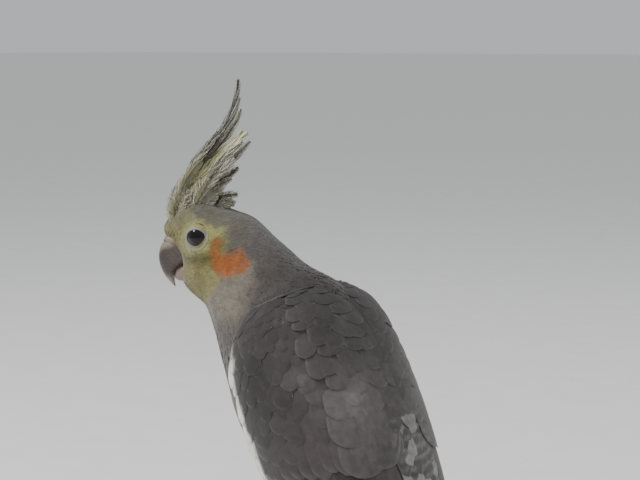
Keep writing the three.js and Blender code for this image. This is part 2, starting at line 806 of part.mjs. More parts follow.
const upper = mandible(CULMEN, UPPER_EDGE, UPPER_HALF_WIDTHS, 0.8);
const lower = mandible(LOWER_RIM, LOWER_KEEL, LOWER_HALF_WIDTHS, 0.7);
const eyes = sides.map(([, side]) => eyeOf(side));
const sockets = eyes.map(({ centre, frame }) =>
  ball(centre, frame, Array(3).fill(EYE_RADIUS + GAP), 14, 8),
);
const nostrils = sides.map(([, side]) => {
  const { forward, up, left, radius } = NOSTRIL;
  return ball(onHead(forward, side * left, up), HEAD, Array(3).fill(radius), 7, 5);
});
const cereOf = (grown) => {
  const radii = CERE.radii.map((radius) => radius + grown);
  return ball(onHead(CERE.forward, 0, CERE.up), HEAD, radii, 14, 8);
};

const dressedHead = largest(
  union([head, cereOf(0), ...eyes.map(lidOf), ...CREST.map(crestVane)]).subtract(
    union([...sockets, ...nostrils]),
  ),
);

addMesh("torso", torso, 0x6b6664);
addMesh("neck", neck, 0x7a7570);
addMesh("head", dressedHead, 0x8b8868);
addMesh("tail", largest(union([rump, ...tailVanes()])), 0x6b6664);
addMesh("beak_upper", largest(upper.subtract(clear).subtract(cereOf(GAP))), 0x6e625a, 0.45);
addMesh("beak_lower", largest(lower.subtract(clear)), 0x6e625a, 0.45);
for (const [name, side] of sides) {
  const { centre, frame } = eyes[side > 0 ? 0 : 1];
  addMesh(`eye_${name}`, ball(centre, frame, Array(3).fill(EYE_RADIUS), 14, 8), 0x0c0a0a, 0.1);
  addMesh(`wing_${name}`, wing(side), 0x57524f);
  addMesh(`leg_${name}`, largest(limb(side, LEG).subtract(clear)), 0x6b6664);
  const toes = TOES.map((toe) => toeOf(side, toe));
  addMesh(`foot_${name}`, union([limb(side, TARSUS), ...toes]), 0x8a7a74);
  for (const toe of TOES) addMesh(`claw_${name}_${toe.name}`, clawOf(side, toe), 0x2c2624, 0.4);
}

const perchOutline = [
  [0, -PERCH_LENGTH / 2],
  [PERCH_RADIUS - 0.8, -PERCH_LENGTH / 2],
  [PERCH_RADIUS, -PERCH_LENGTH / 2 + 0.8],
  [PERCH_RADIUS, PERCH_LENGTH / 2 - 0.8],
  [PERCH_RADIUS - 0.8, PERCH_LENGTH / 2],
  [0, PERCH_LENGTH / 2],
];
addMesh("perch", solid(spindle(perchOutline, 36).translate(0, 0, PERCH_HEIGHT)), 0xe6e6e2, 0.4);

const baseOutline = [
  [0, 0],
  [BASE_RADIUS, 0],
  [BASE_RADIUS, BASE_THICKNESS - BASE_CHAMFER],
  [BASE_RADIUS - BASE_CHAMFER, BASE_THICKNESS],
  [0, BASE_THICKNESS],
];
addMesh("stand_base", solid(spindle(baseOutline, 56).rotateX(Math.PI / 2)), 0xd8d8d4, 0.5);

for (const [name, side] of sides) {
  const y = -side * ROD_SPREAD;
  const saddle = new THREE.CylinderGeometry(PERCH_RADIUS + GAP, PERCH_RADIUS + GAP, 12, 36);
  saddle.translate(0, y, PERCH_HEIGHT);
  const rod = post(0, y, BASE_THICKNESS + GAP, PERCH_HEIGHT, ROD_RADIUS, 20).subtract(solid(saddle));
  addMesh(`stand_rod_${name}`, largest(rod), 0xc8c8c6, 0.35);
}

export default group;
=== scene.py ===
"""Dresses a life-size cockatiel on a short perch: skin, feathers, eyes, bill, feet, perch and stand."""

from math import cos, pi, radians, sin

import bpy
import numpy as np
from bpy.props import FloatProperty, FloatVectorProperty, IntProperty, PointerProperty
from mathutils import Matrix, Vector, kdtree


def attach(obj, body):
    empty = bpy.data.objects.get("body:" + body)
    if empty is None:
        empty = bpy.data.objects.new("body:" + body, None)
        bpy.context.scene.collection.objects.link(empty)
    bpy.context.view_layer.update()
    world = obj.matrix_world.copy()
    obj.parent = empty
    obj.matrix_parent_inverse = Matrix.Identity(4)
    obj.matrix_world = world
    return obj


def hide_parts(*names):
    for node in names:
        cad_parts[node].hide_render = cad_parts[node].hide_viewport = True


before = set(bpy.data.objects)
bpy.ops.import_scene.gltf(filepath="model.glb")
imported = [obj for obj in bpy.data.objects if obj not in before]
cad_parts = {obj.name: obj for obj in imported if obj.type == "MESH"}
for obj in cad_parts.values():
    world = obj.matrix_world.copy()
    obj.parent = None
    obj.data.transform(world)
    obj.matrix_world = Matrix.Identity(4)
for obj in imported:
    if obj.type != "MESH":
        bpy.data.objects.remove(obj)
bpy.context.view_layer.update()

bl_info = {
    "name": "Cockatiel on a Perch",
    "version": (1, 0, 0),
    "blender": (4, 5, 0),
    "location": "View3D > Sidebar > Cockatiel",
    "description": "Builds the skin, plumage, bill, eyes, feet, perch and stand of a cockatiel",
    "category": "Add Mesh",
}

MM = 0.001  # the shapes are worked out in millimetres and made in metres


# Vectors and frames


def vec(x, y, z):
    return np.array([x, y, z], float)


def unit(v):
    v = np.asarray(v, float)
    return v / np.maximum(np.linalg.norm(v, axis=-1, keepdims=True), 1e-12)


def frame_of(forward, left):
    """Three rows: forward (or along), left and up (or dorsal)."""
    f = unit(forward)
    u = unit(np.cross(f, left))
    return np.array([f, np.cross(u, f), u])


def turned(yaw, pitch):
    y, p = radians(yaw), radians(pitch)
    return frame_of(vec(-cos(y) * cos(p), -sin(y) * cos(p), sin(p)), vec(sin(y), -cos(y), 0))


LEFT = vec(0, -1, 0)
BODY = frame_of(vec(-cos(radians(63)), 0, sin(radians(63))), LEFT)
HEAD = turned(28, -10)
TAIL = frame_of(vec(-cos(radians(68)), 0, sin(radians(68))), LEFT)
TORSO_CENTRE = vec(-6, 0, 222)
HEAD_CENTRE = vec(-56, -4, 279.5)


def on(axes, centre, forward, left, up):
    f, l, u = np.broadcast_arrays(*(np.asarray(v, float)[..., None] for v in (forward, left, up)))
    return centre + f * axes[0] + l * axes[1] + u * axes[2]


def on_head(forward, left, up):
    return on(HEAD, HEAD_CENTRE, forward, left, up)


def on_body(along, left, dorsal):
    return on(BODY, TORSO_CENTRE, along, left, dorsal)


TAIL_BASE = on_body(-80, 0, 4)


def on_tail(along, left, dorsal):
    return on(TAIL, TAIL_BASE, along, left, dorsal)


def mix(a, b, t):
    return a + (b - a) * t


def smooth(low, high, x):
    t = np.clip((np.asarray(x, float) - low) / (high - low), 0, 1)
    return t * t * (3 - 2 * t)


def through(knots, x):
    """A smooth value through knots of (x, y)."""
    k = np.asarray(knots, float)
    x = np.asarray(x, float)
    xs, ys = k[:, 0], k[:, 1]
    n = np.arange(len(xs))
    before, after = np.maximum(n - 1, 0), np.minimum(n + 1, len(xs) - 1)
    slope = (ys[after] - ys[before]) / (xs[after] - xs[before])
    i = np.clip(np.searchsorted(xs, x, side="right") - 1, 0, len(xs) - 2)
    w = xs[i + 1] - xs[i]
    t = (x - xs[i]) / w
    t2, t3 = t * t, t**3
    start = (2 * t3 - 3 * t2 + 1) * ys[i] + (t3 - 2 * t2 + t) * w * slope[i]
    return start + (3 * t2 - 2 * t3) * ys[i + 1] + (t3 - t2) * w * slope[i + 1]


def bezier(points, t):
    """Points of a cubic curve at the shares t."""
    p = np.asarray(points, float)
    t = np.asarray(t, float)[..., None]
    u = 1 - t
    return u**3 * p[0] + 3 * u * u * t * p[1] + 3 * u * t * t * p[2] + t**3 * p[3]


# The flesh that the plumage grows on: ellipsoids that blend into one another

BLEND = 9
MASSES = [
    (on_body(12, 0, -5.5), BODY, (41, 28, 24.5)),
    (on_body(-24, 0, -1), BODY, (50, 21, 20.5)),
    (on_body(-60, 0, 4), BODY, (33, 11.5, 12)),
    (on_body(24, 0, 6.5), BODY, (22, 16, 20)),
    (on_body(42, 0, -17), BODY, (24, 13, 16)),
    (on_body(2, 0, 10.5), BODY, (44, 15, 9)),
]
UPPER_BREAST = on_body(34, 0, 0)
NECK_FRAME = frame_of(HEAD_CENTRE - UPPER_BREAST, LEFT)
MASSES.append((mix(HEAD_CENTRE, UPPER_BREAST, 0.49), NECK_FRAME, (23, 16.4, 15)))
MASSES += [
    (on_head(-4.6, 0, -1), HEAD, (11.7, 9.3, 13.3)),
    (on_head(2.5, 0, -1.9), HEAD, (5.2, 13.3, 12.5)),
    (on_head(3.8, 0, -12.6), HEAD, (9.4, 6.4, 8.2)),
    (on_head(6.8, 0, 4.8), HEAD, (10.8, 6.8, 6.3)),
]


def flesh(p):
    """Distance of points from the flesh, negative inside."""
    total = None
    for centre, axes, (along, up, left) in MASSES:
        d = p - centre
        x, z, y = d @ axes[0], d @ axes[1], d @ axes[2]
        near = np.sqrt((x / along) ** 2 + (y / up) ** 2 + (z / left) ** 2)
        slope = np.sqrt((x / along**2) ** 2 + (y / up**2) ** 2 + (z / left**2) ** 2)
        value = near * (near - 1) / np.maximum(slope, 1e-9)
        if total is None:
            total = value
        else:
            h = np.maximum(BLEND - np.abs(total - value), 0) / BLEND
            total = np.minimum(total, value) - h * h * BLEND / 4
    return total


def normal_at(p):
    """The outward direction of the flesh's surface near points."""
    step = 0.2
    return unit(np.stack([flesh(p + step * e) - flesh(p - step * e) for e in np.eye(3)], -1))


def meet(origin, direction, offset=0.0):
    """Where rays from inside meet the surface at an offset outside the flesh."""
    origin, direction = np.broadcast_arrays(origin, direction)
    inside = np.zeros(len(origin))
    found = np.zeros(len(origin), bool)
    outside = np.full(len(origin), 60.0)
    for r in np.arange(1, 60):
        value = flesh(origin + direction * r) - offset
        inside = np.where(~found & (value < 0), r, inside)
        hit = ~found & (value >= 0)
        outside = np.where(hit, r, outside)
        found |= hit
        if found.all():
            break
    for _ in range(12):
        middle = (inside + outside) / 2
        within = flesh(origin + direction * middle[:, None]) - offset < 0
        inside = np.where(within, middle, inside)
        outside = np.where(within, outside, middle)
    return origin + direction * ((inside + outside) / 2)[:, None]


def spine_line():
    """Many points along a smooth curve from the face to the tail, with their shares of its length."""
    stops = np.array(
        [
            on_head(7, 0, -3),
            on_head(-2, 0, -3),
            mix(HEAD_CENTRE, on_body(34, 0, 2), 0.5),
            on_body(30, 0, 2),
            on_body(0, 0, 0),
            on_body(-35, 0, 1),
            on_body(-60, 0, 4),
            on_body(-80, 0, 5),
        ]
    )
    stops = np.vstack([2 * stops[0] - stops[1], stops, 2 * stops[-1] - stops[-2]])
    line = []
    for i in range(1, len(stops) - 2):
        p0, p1, p2, p3 = stops[i - 1 : i + 3]
        d0, d1, d2 = (np.linalg.norm(b - a) ** 0.5 for a, b in ((p0, p1), (p1, p2), (p2, p3)))
        t1 = ((p1 - p0) / d0 - (p2 - p0) / (d0 + d1) + (p2 - p1) / d1) * d1
        t2 = ((p2 - p1) / d1 - (p3 - p1) / (d1 + d2) + (p3 - p2) / d2) * d1
        t = np.linspace(0, 1, 60, endpoint=False)[:, None]
        c2 = -3 * p1 + 3 * p2 - 2 * t1 - t2
        c3 = 2 * p1 - 2 * p2 + t1 + t2
        line.append(p1 + t1 * t + c2 * t**2 + c3 * t**3)
    line = np.vstack(line + [stops[-2:-1]])
    length = np.concatenate([[0], np.cumsum(np.linalg.norm(np.diff(line, axis=0), axis=1))])
    return line, length / length[-1]


SPINE, SPINE_SHARE = spine_line()
BEND = BODY.T @ HEAD  # turns the head's frame into the body's
BEND_ANGLE = np.arccos((np.trace(BEND) - 1) / 2)
BEND_AXIS = unit(vec(BEND[2, 1] - BEND[1, 2], BEND[0, 2] - BEND[2, 0], BEND[1, 0] - BEND[0, 1]))


def sections(share):
    """The middle, dorsal, left and tailward directions of the body at shares of the spine."""
    share = np.asarray(share, float)
    middle = np.stack([np.interp(share, SPINE_SHARE, SPINE[:, k]) for k in range(3)], -1)
    angle = BEND_ANGLE * smooth(0, 0.4, share)[:, None]

    def turn(v):
        cross = np.cross(BEND_AXIS, v)
        return v * np.cos(angle) + cross * np.sin(angle) + BEND_AXIS * (BEND_AXIS @ v) * (1 - np.cos(angle))

    return middle, turn(HEAD[2]), turn(HEAD[1]), -turn(HEAD[0])


def skin(share, around, lean=0.0, offset=0.0):
    """Points of the skin. around runs from the back to the left, and lean tips the ray along the spine."""
    share, around, lean = (np.ravel(a) for a in np.broadcast_arrays(share, around, lean))
    middle, dorsal, left, tailward = sections(share)
    ray = dorsal * np.cos(around)[:, None] + left * np.sin(around)[:, None]
    ray = ray * np.cos(lean)[:, None] + tailward * np.sin(lean)[:, None]
    return meet(middle, ray, offset)


# The folded wing's surface

WING_ALONG = (45, -118)
WING_ARCS = [
    (0, (6, 18), (20, -2), 5),
    (0.05, (4, 22.5), (24, -7), 9.6),
    (0.13, (3, 27), (27, -12), 12.6),
    (0.3, (3.6, 28.5), (27.5, -14), 12.8),
    (0.5, (3.8, 25.5), (25, -11), 10.5),
    (0.7, (2.8, 20), (18, -3), 6),
    (0.85, (2, 16), (12.5, 2), 3),
    (1, (1.4, 12.5), (8.5, 5.5), 1.2),
]


def wing_arc(share):
    s = np.clip(share, 0, 1)
    inner_left, inner_up, outer_left, outer_up = (
        through([(a[0], a[edge][axis]) for a in WING_ARCS], s) for edge in (1, 2) for axis in (0, 1)
    )
    bulge = through([(a[0], a[3]) for a in WING_ARCS], s)
    run, rise = outer_left - inner_left, outer_up - inner_up
    half = np.hypot(run, rise) / 2
    run, rise = run / (2 * half), rise / (2 * half)
    radius = (half**2 + bulge**2) / (2 * bulge)
    centre_left = inner_left + run * half - rise * (bulge - radius)
    centre_up = inner_up + rise * half + run * (bulge - radius)
    return centre_left, centre_up, radius, np.arcsin(np.minimum(half / radius, 1)), run, rise


def wing_point(side, share, across, height):
    """A point of the wing's patch. share runs to the wing's tip, across from the back to the leading edge."""
    share, across, height = np.broadcast_arrays(*(np.asarray(v, float) for v in (share, across, height)))
    centre_left, centre_up, radius, half_angle, run, rise = wing_arc(share)
    angle = (2 * across - 1) * half_angle
    left = centre_left + (-rise * np.cos(angle) + run * np.sin(angle)) * (radius + height)
    up = centre_up + (run * np.cos(angle) + rise * np.sin(angle)) * (radius + height)
    return on_body(mix(*WING_ALONG, share), side * left, up)


def wing_width(share):
    """The length of the arc across the wing."""
    _, _, radius, half_angle, _, _ = wing_arc(share)
    return 2 * radius * half_angle


# Colours. Tones are given as a screen shows them, and worked with as light


def tone(red, green, blue):
    c = np.array([red, green, blue], float) / 255
    return np.where(c <= 0.04045, c / 12.92, ((c + 0.055) / 1.055) ** 2.4)


def ripple(p, size, seed):
    """A slow, smooth variation between about -1 and 1 over points, with waves about a size long."""
    rng = np.random.default_rng(seed)
    total = np.zeros(len(p))
    for _ in range(7):
        way = unit(rng.normal(size=3)) * 2 * pi / (size * rng.uniform(0.6, 1.6))
        total += np.sin(p @ way + rng.uniform(0, 2 * pi))
    return total / 3.2


def near(value, middle, reach):
    return np.exp(-(((value - middle) / reach) ** 2))


def blend_in(base, colour, amount):
    return base + (colour - base) * np.clip(amount, 0, 1)[:, None]


YELLOW_EDGE = [(-40, 8), (-24, 4), (-19, 1), (-12, -5), (-6, -7), (0, -8), (4, -5), (10, 3), (20, 9)]


def plumage(p):
    """The colour of the bird's small feathers and skin at points."""
    kit = bpy.context.scene.cockatiel_plumage
    d = p - HEAD_CENTRE
    f, l, u = (d @ HEAD[k] for k in range(3))
    b = p - TORSO_CENTRE
    along, left, up = (b @ BODY[k] for k in range(3))
    f = f + 0.7 * ripple(p, 5, 3)
    u = u + 0.7 * ripple(p, 4, 4)
    side = smooth(3, 7, np.abs(l))

    back, breast = np.array(kit.back), np.array(kit.breast)
    colour = breast + (back - breast) * smooth(-14, 4, up + 0.3 * (along - 20))[:, None]
    belly = smooth(-5, -45, along) * smooth(2, -10, up)
    colour = blend_in(colour, tone(126, 119, 116), 0.6 * belly)
    rump = smooth(4, -8, along) * smooth(6, 14, up) * smooth(9, 5, np.abs(left))
    colour = blend_in(colour, tone(104, 101, 100), 0.8 * rump)

    colour = blend_in(colour, tone(104, 99, 96), smooth(-46, -16, f + 0.5 * u))
    crown = smooth(-20, -7, f) * smooth(-14, -2, u)
    colour = blend_in(colour, tone(110, 106, 96), crown)
    beige = smooth(-20, -14, f + 0.3 * (u + 11)) * smooth(-6, -11, u) * smooth(-32, -22, u)
    colour = blend_in(colour, tone(142, 135, 124), beige)
    front = f - through(YELLOW_EDGE, u)
    yellow = smooth(-2, 2.5, front) * smooth(-30, -21, u)
    face = blend_in(np.tile(np.array(kit.face), (len(p), 1)), tone(132, 128, 100), smooth(4.5, 8, u))
    olive = 0.9 * side * near(u, -4.8, 1.9) * smooth(-4, -1, f) * smooth(12, 8, f)
    face = blend_in(face, tone(98, 93, 58), olive)
    face = blend_in(face, tone(128, 118, 80), near(f, 13, 3.2) * near(u, 3, 3.6))
    colour = blend_in(colour, face, yellow)
    behind_eye = near(np.hypot(f + 4.8, (u - 2) * 1.3), 0, 2.6)
    round_eye = np.maximum(near(np.hypot(f - 2.4, (u - 2.2) * 1.15), 5, 1.7) * 0.7, behind_eye)
    colour = blend_in(colour, np.array(kit.eye_patch), round_eye * side)
    middle = through([(-8, -3.8), (-3.5, -3.4), (0, -4.8)], np.clip(u, -8, 0))
    stroke = np.hypot(f - middle, u - np.clip(u, -7.2, -0.6))
    lobe = np.hypot(f - np.clip(f, -11.6, -6.4), u + 7.9)
    colour = blend_in(colour, tone(118, 100, 64), 0.7 * side * smooth(3.6, 1.6, stroke))
    cheek = np.maximum(0.62 * smooth(3.0, 0.8, stroke), smooth(5.2, 2.2, lobe)) * side
    colour = blend_in(colour, np.array(kit.cheek), cheek * (0.86 + 0.2 * ripple(p, 2.6, 15)))
    ear = np.hypot(f + 9.2, u + 3.5)
    colour = blend_in(colour, tone(66, 58, 50), 0.8 * side * near(ear, 0, 0.85))
    colour = blend_in(colour, tone(176, 170, 158), 0.6 * side * near(np.hypot(f + 10.6, u + 3.0), 0, 0.6))
    colour = colour * (0.6 + 0.035 * ripple(p, 9, 5) + 0.02 * ripple(p, 3, 6))[:, None]
    grey = colour.mean(1, keepdims=True)
    return np.clip(grey + (colour - grey) * 1.22, 0, 1)


# Meshes


def link(name, mesh):
    piece = bpy.data.objects.new(name, mesh)
    bpy.context.scene.collection.objects.link(piece)
    return piece


def mesh_of(name, points, faces, flat=False):
    mesh = bpy.data.meshes.new(name)
    mesh.from_pydata((np.asarray(points) * MM).tolist(), [], faces)
    mesh.polygons.foreach_set("use_smooth", [not flat] * len(mesh.polygons))
    mesh.update()
    return mesh


def put(mesh, name, kind, values):
    """Stores one value for each vertex."""
    field = {"FLOAT": "value", "FLOAT_VECTOR": "vector", "FLOAT_COLOR": "color", "INT": "value"}[kind]
    values = np.asarray(values, np.float32)
    if kind == "FLOAT_COLOR":
        values = np.concatenate([values, np.ones((len(values), 1), np.float32)], 1)
    layer = mesh.attributes.get(name) or mesh.attributes.new(name, kind, "POINT")
    layer.data.foreach_set(field, values.ravel())


def take(mesh, name, width):
    field = "value" if width == 1 else "vector"
    values = np.empty(len(mesh.vertices) * width, np.float32)
    mesh.attributes[name].data.foreach_get(field, values)
    return values.reshape(-1, width) if width > 1 else values


def points_of(mesh):
    p = np.empty(len(mesh.vertices) * 3, np.float32)
    mesh.vertices.foreach_get("co", p)
    return p.reshape(-1, 3).astype(float) / MM


def soften(mesh, facing, soft):
    """Makes a mesh take the light nearly as it would if it faced as given, by its own normals."""
    own = np.empty(len(mesh.vertices) * 3, np.float32)
    mesh.vertices.foreach_get("normal", own)
    own = own.reshape(-1, 3)
    folded = (own * facing).sum(-1, keepdims=True) < -0.25
    mesh.normals_split_custom_set_from_vertices(unit(np.where(folded, own, mix(own, facing, soft))).tolist())


def map_uv(mesh, name, uv):
    """A UV map from one place for each vertex."""
    corner = np.empty(len(mesh.loops), np.int32)
    mesh.loops.foreach_get("vertex_index", corner)
    layer = mesh.uv_layers.get(name) or mesh.uv_layers.new(name=name)
    layer.data.foreach_set("uv", np.asarray(uv, np.float32)[corner].ravel())


def rings_mesh(rings, first=None, last=None):
    """Points and faces of a closed surface over rings, with poles at their middles or where given."""
    rings = np.asarray(rings)
    count, sides, _ = rings.shape
    first = rings[0].mean(0) if first is None else first
    last = rings[-1].mean(0) if last is None else last
    points = np.vstack([first[None], rings.reshape(-1, 3), last[None]])
    faces = []
    end = len(points) - 1
    for j in range(sides):
        k = (j + 1) % sides
        faces.append((0, 1 + k, 1 + j))
        faces.append((end, end - sides + j, end - sides + k))
        for i in range(count - 1):
            a, b = 1 + i * sides, 1 + (i + 1) * sides
            faces.append((a + j, a + k, b + k, b + j))
    return points, outward(points, faces)


def outward(points, faces):
    """The same faces, turned so that the closed surface they make faces out."""
    volume = 0.0
    for face in faces:
        a = points[face[0]]
        for i in range(1, len(face) - 1):
            volume += np.dot(a, np.cross(points[face[i]], points[face[i + 1]]))
    return faces if volume > 0 else [face[::-1] for face in faces]


def tube_rings(path, radius, across, sides):
    """Rings square to a path, each as wide as its radius."""
    path = np.asarray(path, float)
    way = unit(np.gradient(path, axis=0))
    up = unit(np.cross(way, across))
    out = np.cross(up, way)
    angle = np.linspace(0, 2 * pi, sides, endpoint=False)
    ring = np.cos(angle)[None, :, None] * up[:, None] + np.sin(angle)[None, :, None] * out[:, None]
    return path[:, None] + ring * np.asarray(radius, float)[:, None, None]


class Leaves:
    """Gathers thin closed leaves, each from a top and a bottom grid of points, into one mesh."""

    def __init__(self):
        self.points, self.faces, self.tint, self.vane = [], [], [], []
        self.fringe, self.root, self.facing = [], [], []
        self.total = 0

    def add(self, top, bottom, u, v, tint, fringe, length, root, facing=None):
        rows, cols = top.shape[:2]
        if facing is None:
            facing = unit(np.cross(np.gradient(top, axis=0), np.gradient(top, axis=1)))
            facing = np.broadcast_to(unit(facing.mean((0, 1))), top.shape) * 0.4 + facing * 0.6
        rim = [(0, j) for j in range(cols)] + [(i, cols - 1) for i in range(1, rows)]
        rim += [(rows - 1, j) for j in range(cols - 2, -1, -1)] + [(i, 0) for i in range(rows - 2, 0, -1)]
        on_rim = np.zeros((rows, cols), bool)
        for i, j in rim:
            on_rim[i, j] = True
        index = self.total + np.arange(rows * cols).reshape(rows, cols)
        under = index.copy()
        inner = np.argwhere(~on_rim)
        under[~on_rim] = self.total + rows * cols + np.arange(len(inner))
        a, b, c, d = index[:-1, :-1], index[:-1, 1:], index[1:, 1:], index[1:, :-1]
        self.faces.append(np.stack([a, b, c, d], -1).reshape(-1, 4))
        a, b, c, d = under[:-1, :-1], under[:-1, 1:], under[1:, 1:], under[1:, :-1]
        self.faces.append(np.stack([d, c, b, a], -1).reshape(-1, 4))
        points = np.vstack([top.reshape(-1, 3), bottom[~on_rim]])
        self.points.append(points)
        self.total += len(points)
        both = lambda grid: np.concatenate([grid.ravel(), grid[~on_rim]])
        uu, vv = both(np.broadcast_to(u, (rows, cols))), both(np.broadcast_to(v, (rows, cols)))
        self.vane.append(np.stack([uu, vv, np.full(len(uu), length)], -1))
        self.tint.append(np.broadcast_to(tint, (len(points), 3)) if np.ndim(tint) < 3 else
                         np.concatenate([tint.reshape(-1, 3), tint[~on_rim]]))
        self.fringe.append(np.full(len(points), fringe))
        self.root.append(np.broadcast_to(root, (len(points), 2)))
        self.facing.append(np.concatenate([facing.reshape(-1, 3), -facing[~on_rim]]))

    def build(self, name, soft=0.7, cell=0.003):
        points, faces = np.vstack(self.points), np.vstack(self.faces)
        mesh = mesh_of(name, points, faces.tolist())
        vane = np.vstack(self.vane)
        put(mesh, "tint", "FLOAT_COLOR", np.vstack(self.tint))
        put(mesh, "vane", "FLOAT_VECTOR", vane)
        put(mesh, "fringe", "FLOAT", np.concatenate(self.fringe))
        soften(mesh, np.vstack(self.facing), soft)
        place = np.stack([vane[:, 0] * 0.5, vane[:, 1] - 0.5], -1) * cell
        map_uv(mesh, "OFBake", np.vstack(self.root) + place)
        return link(name, mesh)


# Materials


class Shades:
    """A small helper that wires up a material's nodes."""

    def __init__(self, name):
        self.material = bpy.data.materials.new(name)
        self.material.use_nodes = True
        self.tree = self.material.node_tree
        self.shader = self.tree.nodes["Principled BSDF"]

    def node(self, kind, **values):
        made = self.tree.nodes.new(kind)
        for key, value in values.items():
            setattr(made, key, value)
        return made

    def wire(self, source, target):
        self.tree.links.new(source, target)

    def feed(self, socket, value):
        if isinstance(value, bpy.types.NodeSocket):
            self.wire(value, socket)
        else:
            socket.default_value = value

    def sum(self, operation, a, b=0.0, c=0.0):
        made = self.node("ShaderNodeMath", operation=operation)
        for socket, value in zip(made.inputs, (a, b, c)):
            self.feed(socket, value)
        return made.outputs[0]

    def ramp(self, value, low, high, start=0.0, end=1.0):
        made = self.node("ShaderNodeMapRange", interpolation_type="SMOOTHSTEP")
        for socket, item in zip(made.inputs, (value, low, high, start, end)):
            self.feed(socket, item)
        return made.outputs[0]

    def attribute(self, name):
        return self.node("ShaderNodeAttribute", attribute_name=name)

    def noise(self, scale, detail=4.0, stretch=None, roughness=0.55):
        made = self.node("ShaderNodeTexNoise")
        made.inputs["Scale"].default_value = scale
        made.inputs["Detail"].default_value = detail
        made.inputs["Roughness"].default_value = roughness
        place = self.node("ShaderNodeTexCoord").outputs["Object"]
        if stretch:
            mapping = self.node("ShaderNodeMapping")
            mapping.inputs["Scale"].default_value = stretch
            self.wire(place, mapping.inputs["Vector"])
            place = mapping.outputs["Vector"]
        self.wire(place, made.inputs["Vector"])
        return made.outputs[0]

    def mix(self, amount, a, b, blend="MIX"):
        made = self.node("ShaderNodeMix", data_type="RGBA", blend_type=blend)
        self.feed(made.inputs["Factor"], amount)
        for socket, value in ((made.inputs[6], a), (made.inputs[7], b)):
            self.feed(socket, (*value, 1) if not isinstance(value, bpy.types.NodeSocket) else value)
        return made.outputs[2]

    def bump(self, height, strength, distance, normal=None):
        made = self.node("ShaderNodeBump")
        made.inputs["Strength"].default_value = strength
        made.inputs["Distance"].default_value = distance
        self.wire(height, made.inputs["Height"])
        if normal:
            self.wire(normal, made.inputs["Normal"])
        return made.outputs[0]

    def finish(self, colour, roughness=0.6, normal=None, **sockets):
        self.feed(self.shader.inputs["Base Color"], colour)
        self.feed(self.shader.inputs["Roughness"], roughness)
        if normal:
            self.wire(normal, self.shader.inputs["Normal"])
        for key, value in sockets.items():
            self.shader.inputs[key.replace("_", " ")].default_value = value
        return self.material


def feather_material(name, barbs, shaft, edge, roughness=0.72, depth=0.00012, **sockets):
    """Feathers: their own tints, paler fringes, a shaft and fine barbs that slope out to the tip."""
    s = Shades(name)
    tint = s.attribute("tint").outputs["Color"]
    split = s.node("ShaderNodeSeparateXYZ")
    s.wire(s.attribute("vane").outputs["Vector"], split.inputs[0])
    out = s.sum("ABSOLUTE", split.outputs[0])
    up, length = split.outputs[1], split.outputs[2]
    rim = s.sum("MAXIMUM", out, s.sum("MULTIPLY_ADD", up, 3.2, -2.2))
    fringe = s.sum("MULTIPLY", s.ramp(rim, 0.66, 0.98), s.attribute("fringe").outputs["Fac"])
    colour = s.mix(fringe, tint, edge)
    stem = s.sum("MULTIPLY", s.ramp(out, 0.02, 0.075, 1, 0), shaft)
    colour = s.mix(stem, colour, (0.012, 0.010, 0.010))
    phase = s.sum("MULTIPLY_ADD", up, s.sum("MULTIPLY", length, barbs), s.sum("MULTIPLY", out, -barbs * 2.6))
    wobble = s.noise(700, 2)
    wave = s.sum("SINE", s.sum("MULTIPLY_ADD", wobble, 5.0, s.sum("MULTIPLY", phase, 2 * pi)))
    mottle = s.ramp(s.noise(420, 5), 0.3, 0.7, 0.86, 1.12)
    lines = s.ramp(wave, -1, 1, 0.93, 1.05)
    shade = s.sum("MULTIPLY", mottle, lines)
    grey = s.node("ShaderNodeCombineColor")
    for socket in grey.inputs[:3]:
        s.wire(shade, socket)
    colour = s.mix(1.0, colour, grey.outputs[0], "MULTIPLY")
    normal = s.bump(wave, 0.25, depth)
    return s.finish(colour, roughness, normal, Sheen_Weight=0.18, Sheen_Roughness=0.5, Specular_IOR_Level=0.3,
                    **sockets)


def tinted_material(name, roughness, scale, strength, distance, stretch=None, spread=0.1, **sockets):
    """A surface that takes its own tints, with fine noise in colour and relief."""
    s = Shades(name)
    tint = s.attribute("tint").outputs["Color"]
    grain = s.noise(scale, 6, stretch)
    shade = s.ramp(grain, 0.3, 0.7, 1 - spread, 1 + spread)
    grey = s.node("ShaderNodeCombineColor")
    for socket in grey.inputs[:3]:
        s.wire(shade, socket)
    colour = s.mix(1.0, tint, grey.outputs[0], "MULTIPLY")
    return s.finish(colour, roughness, s.bump(grain, strength, distance), **sockets)


def dress(piece, material, slot, *nodes):
    """Gives a piece its material and its body, and hides the parts of the model that it stands in for. slot is
    not used.
    """
    if material is not None:
        piece.data.materials.clear()
        piece.data.materials.append(material)
    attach(piece, "root")
    if nodes:
        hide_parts(*nodes)
    return piece


# Settings that the sidebar shows


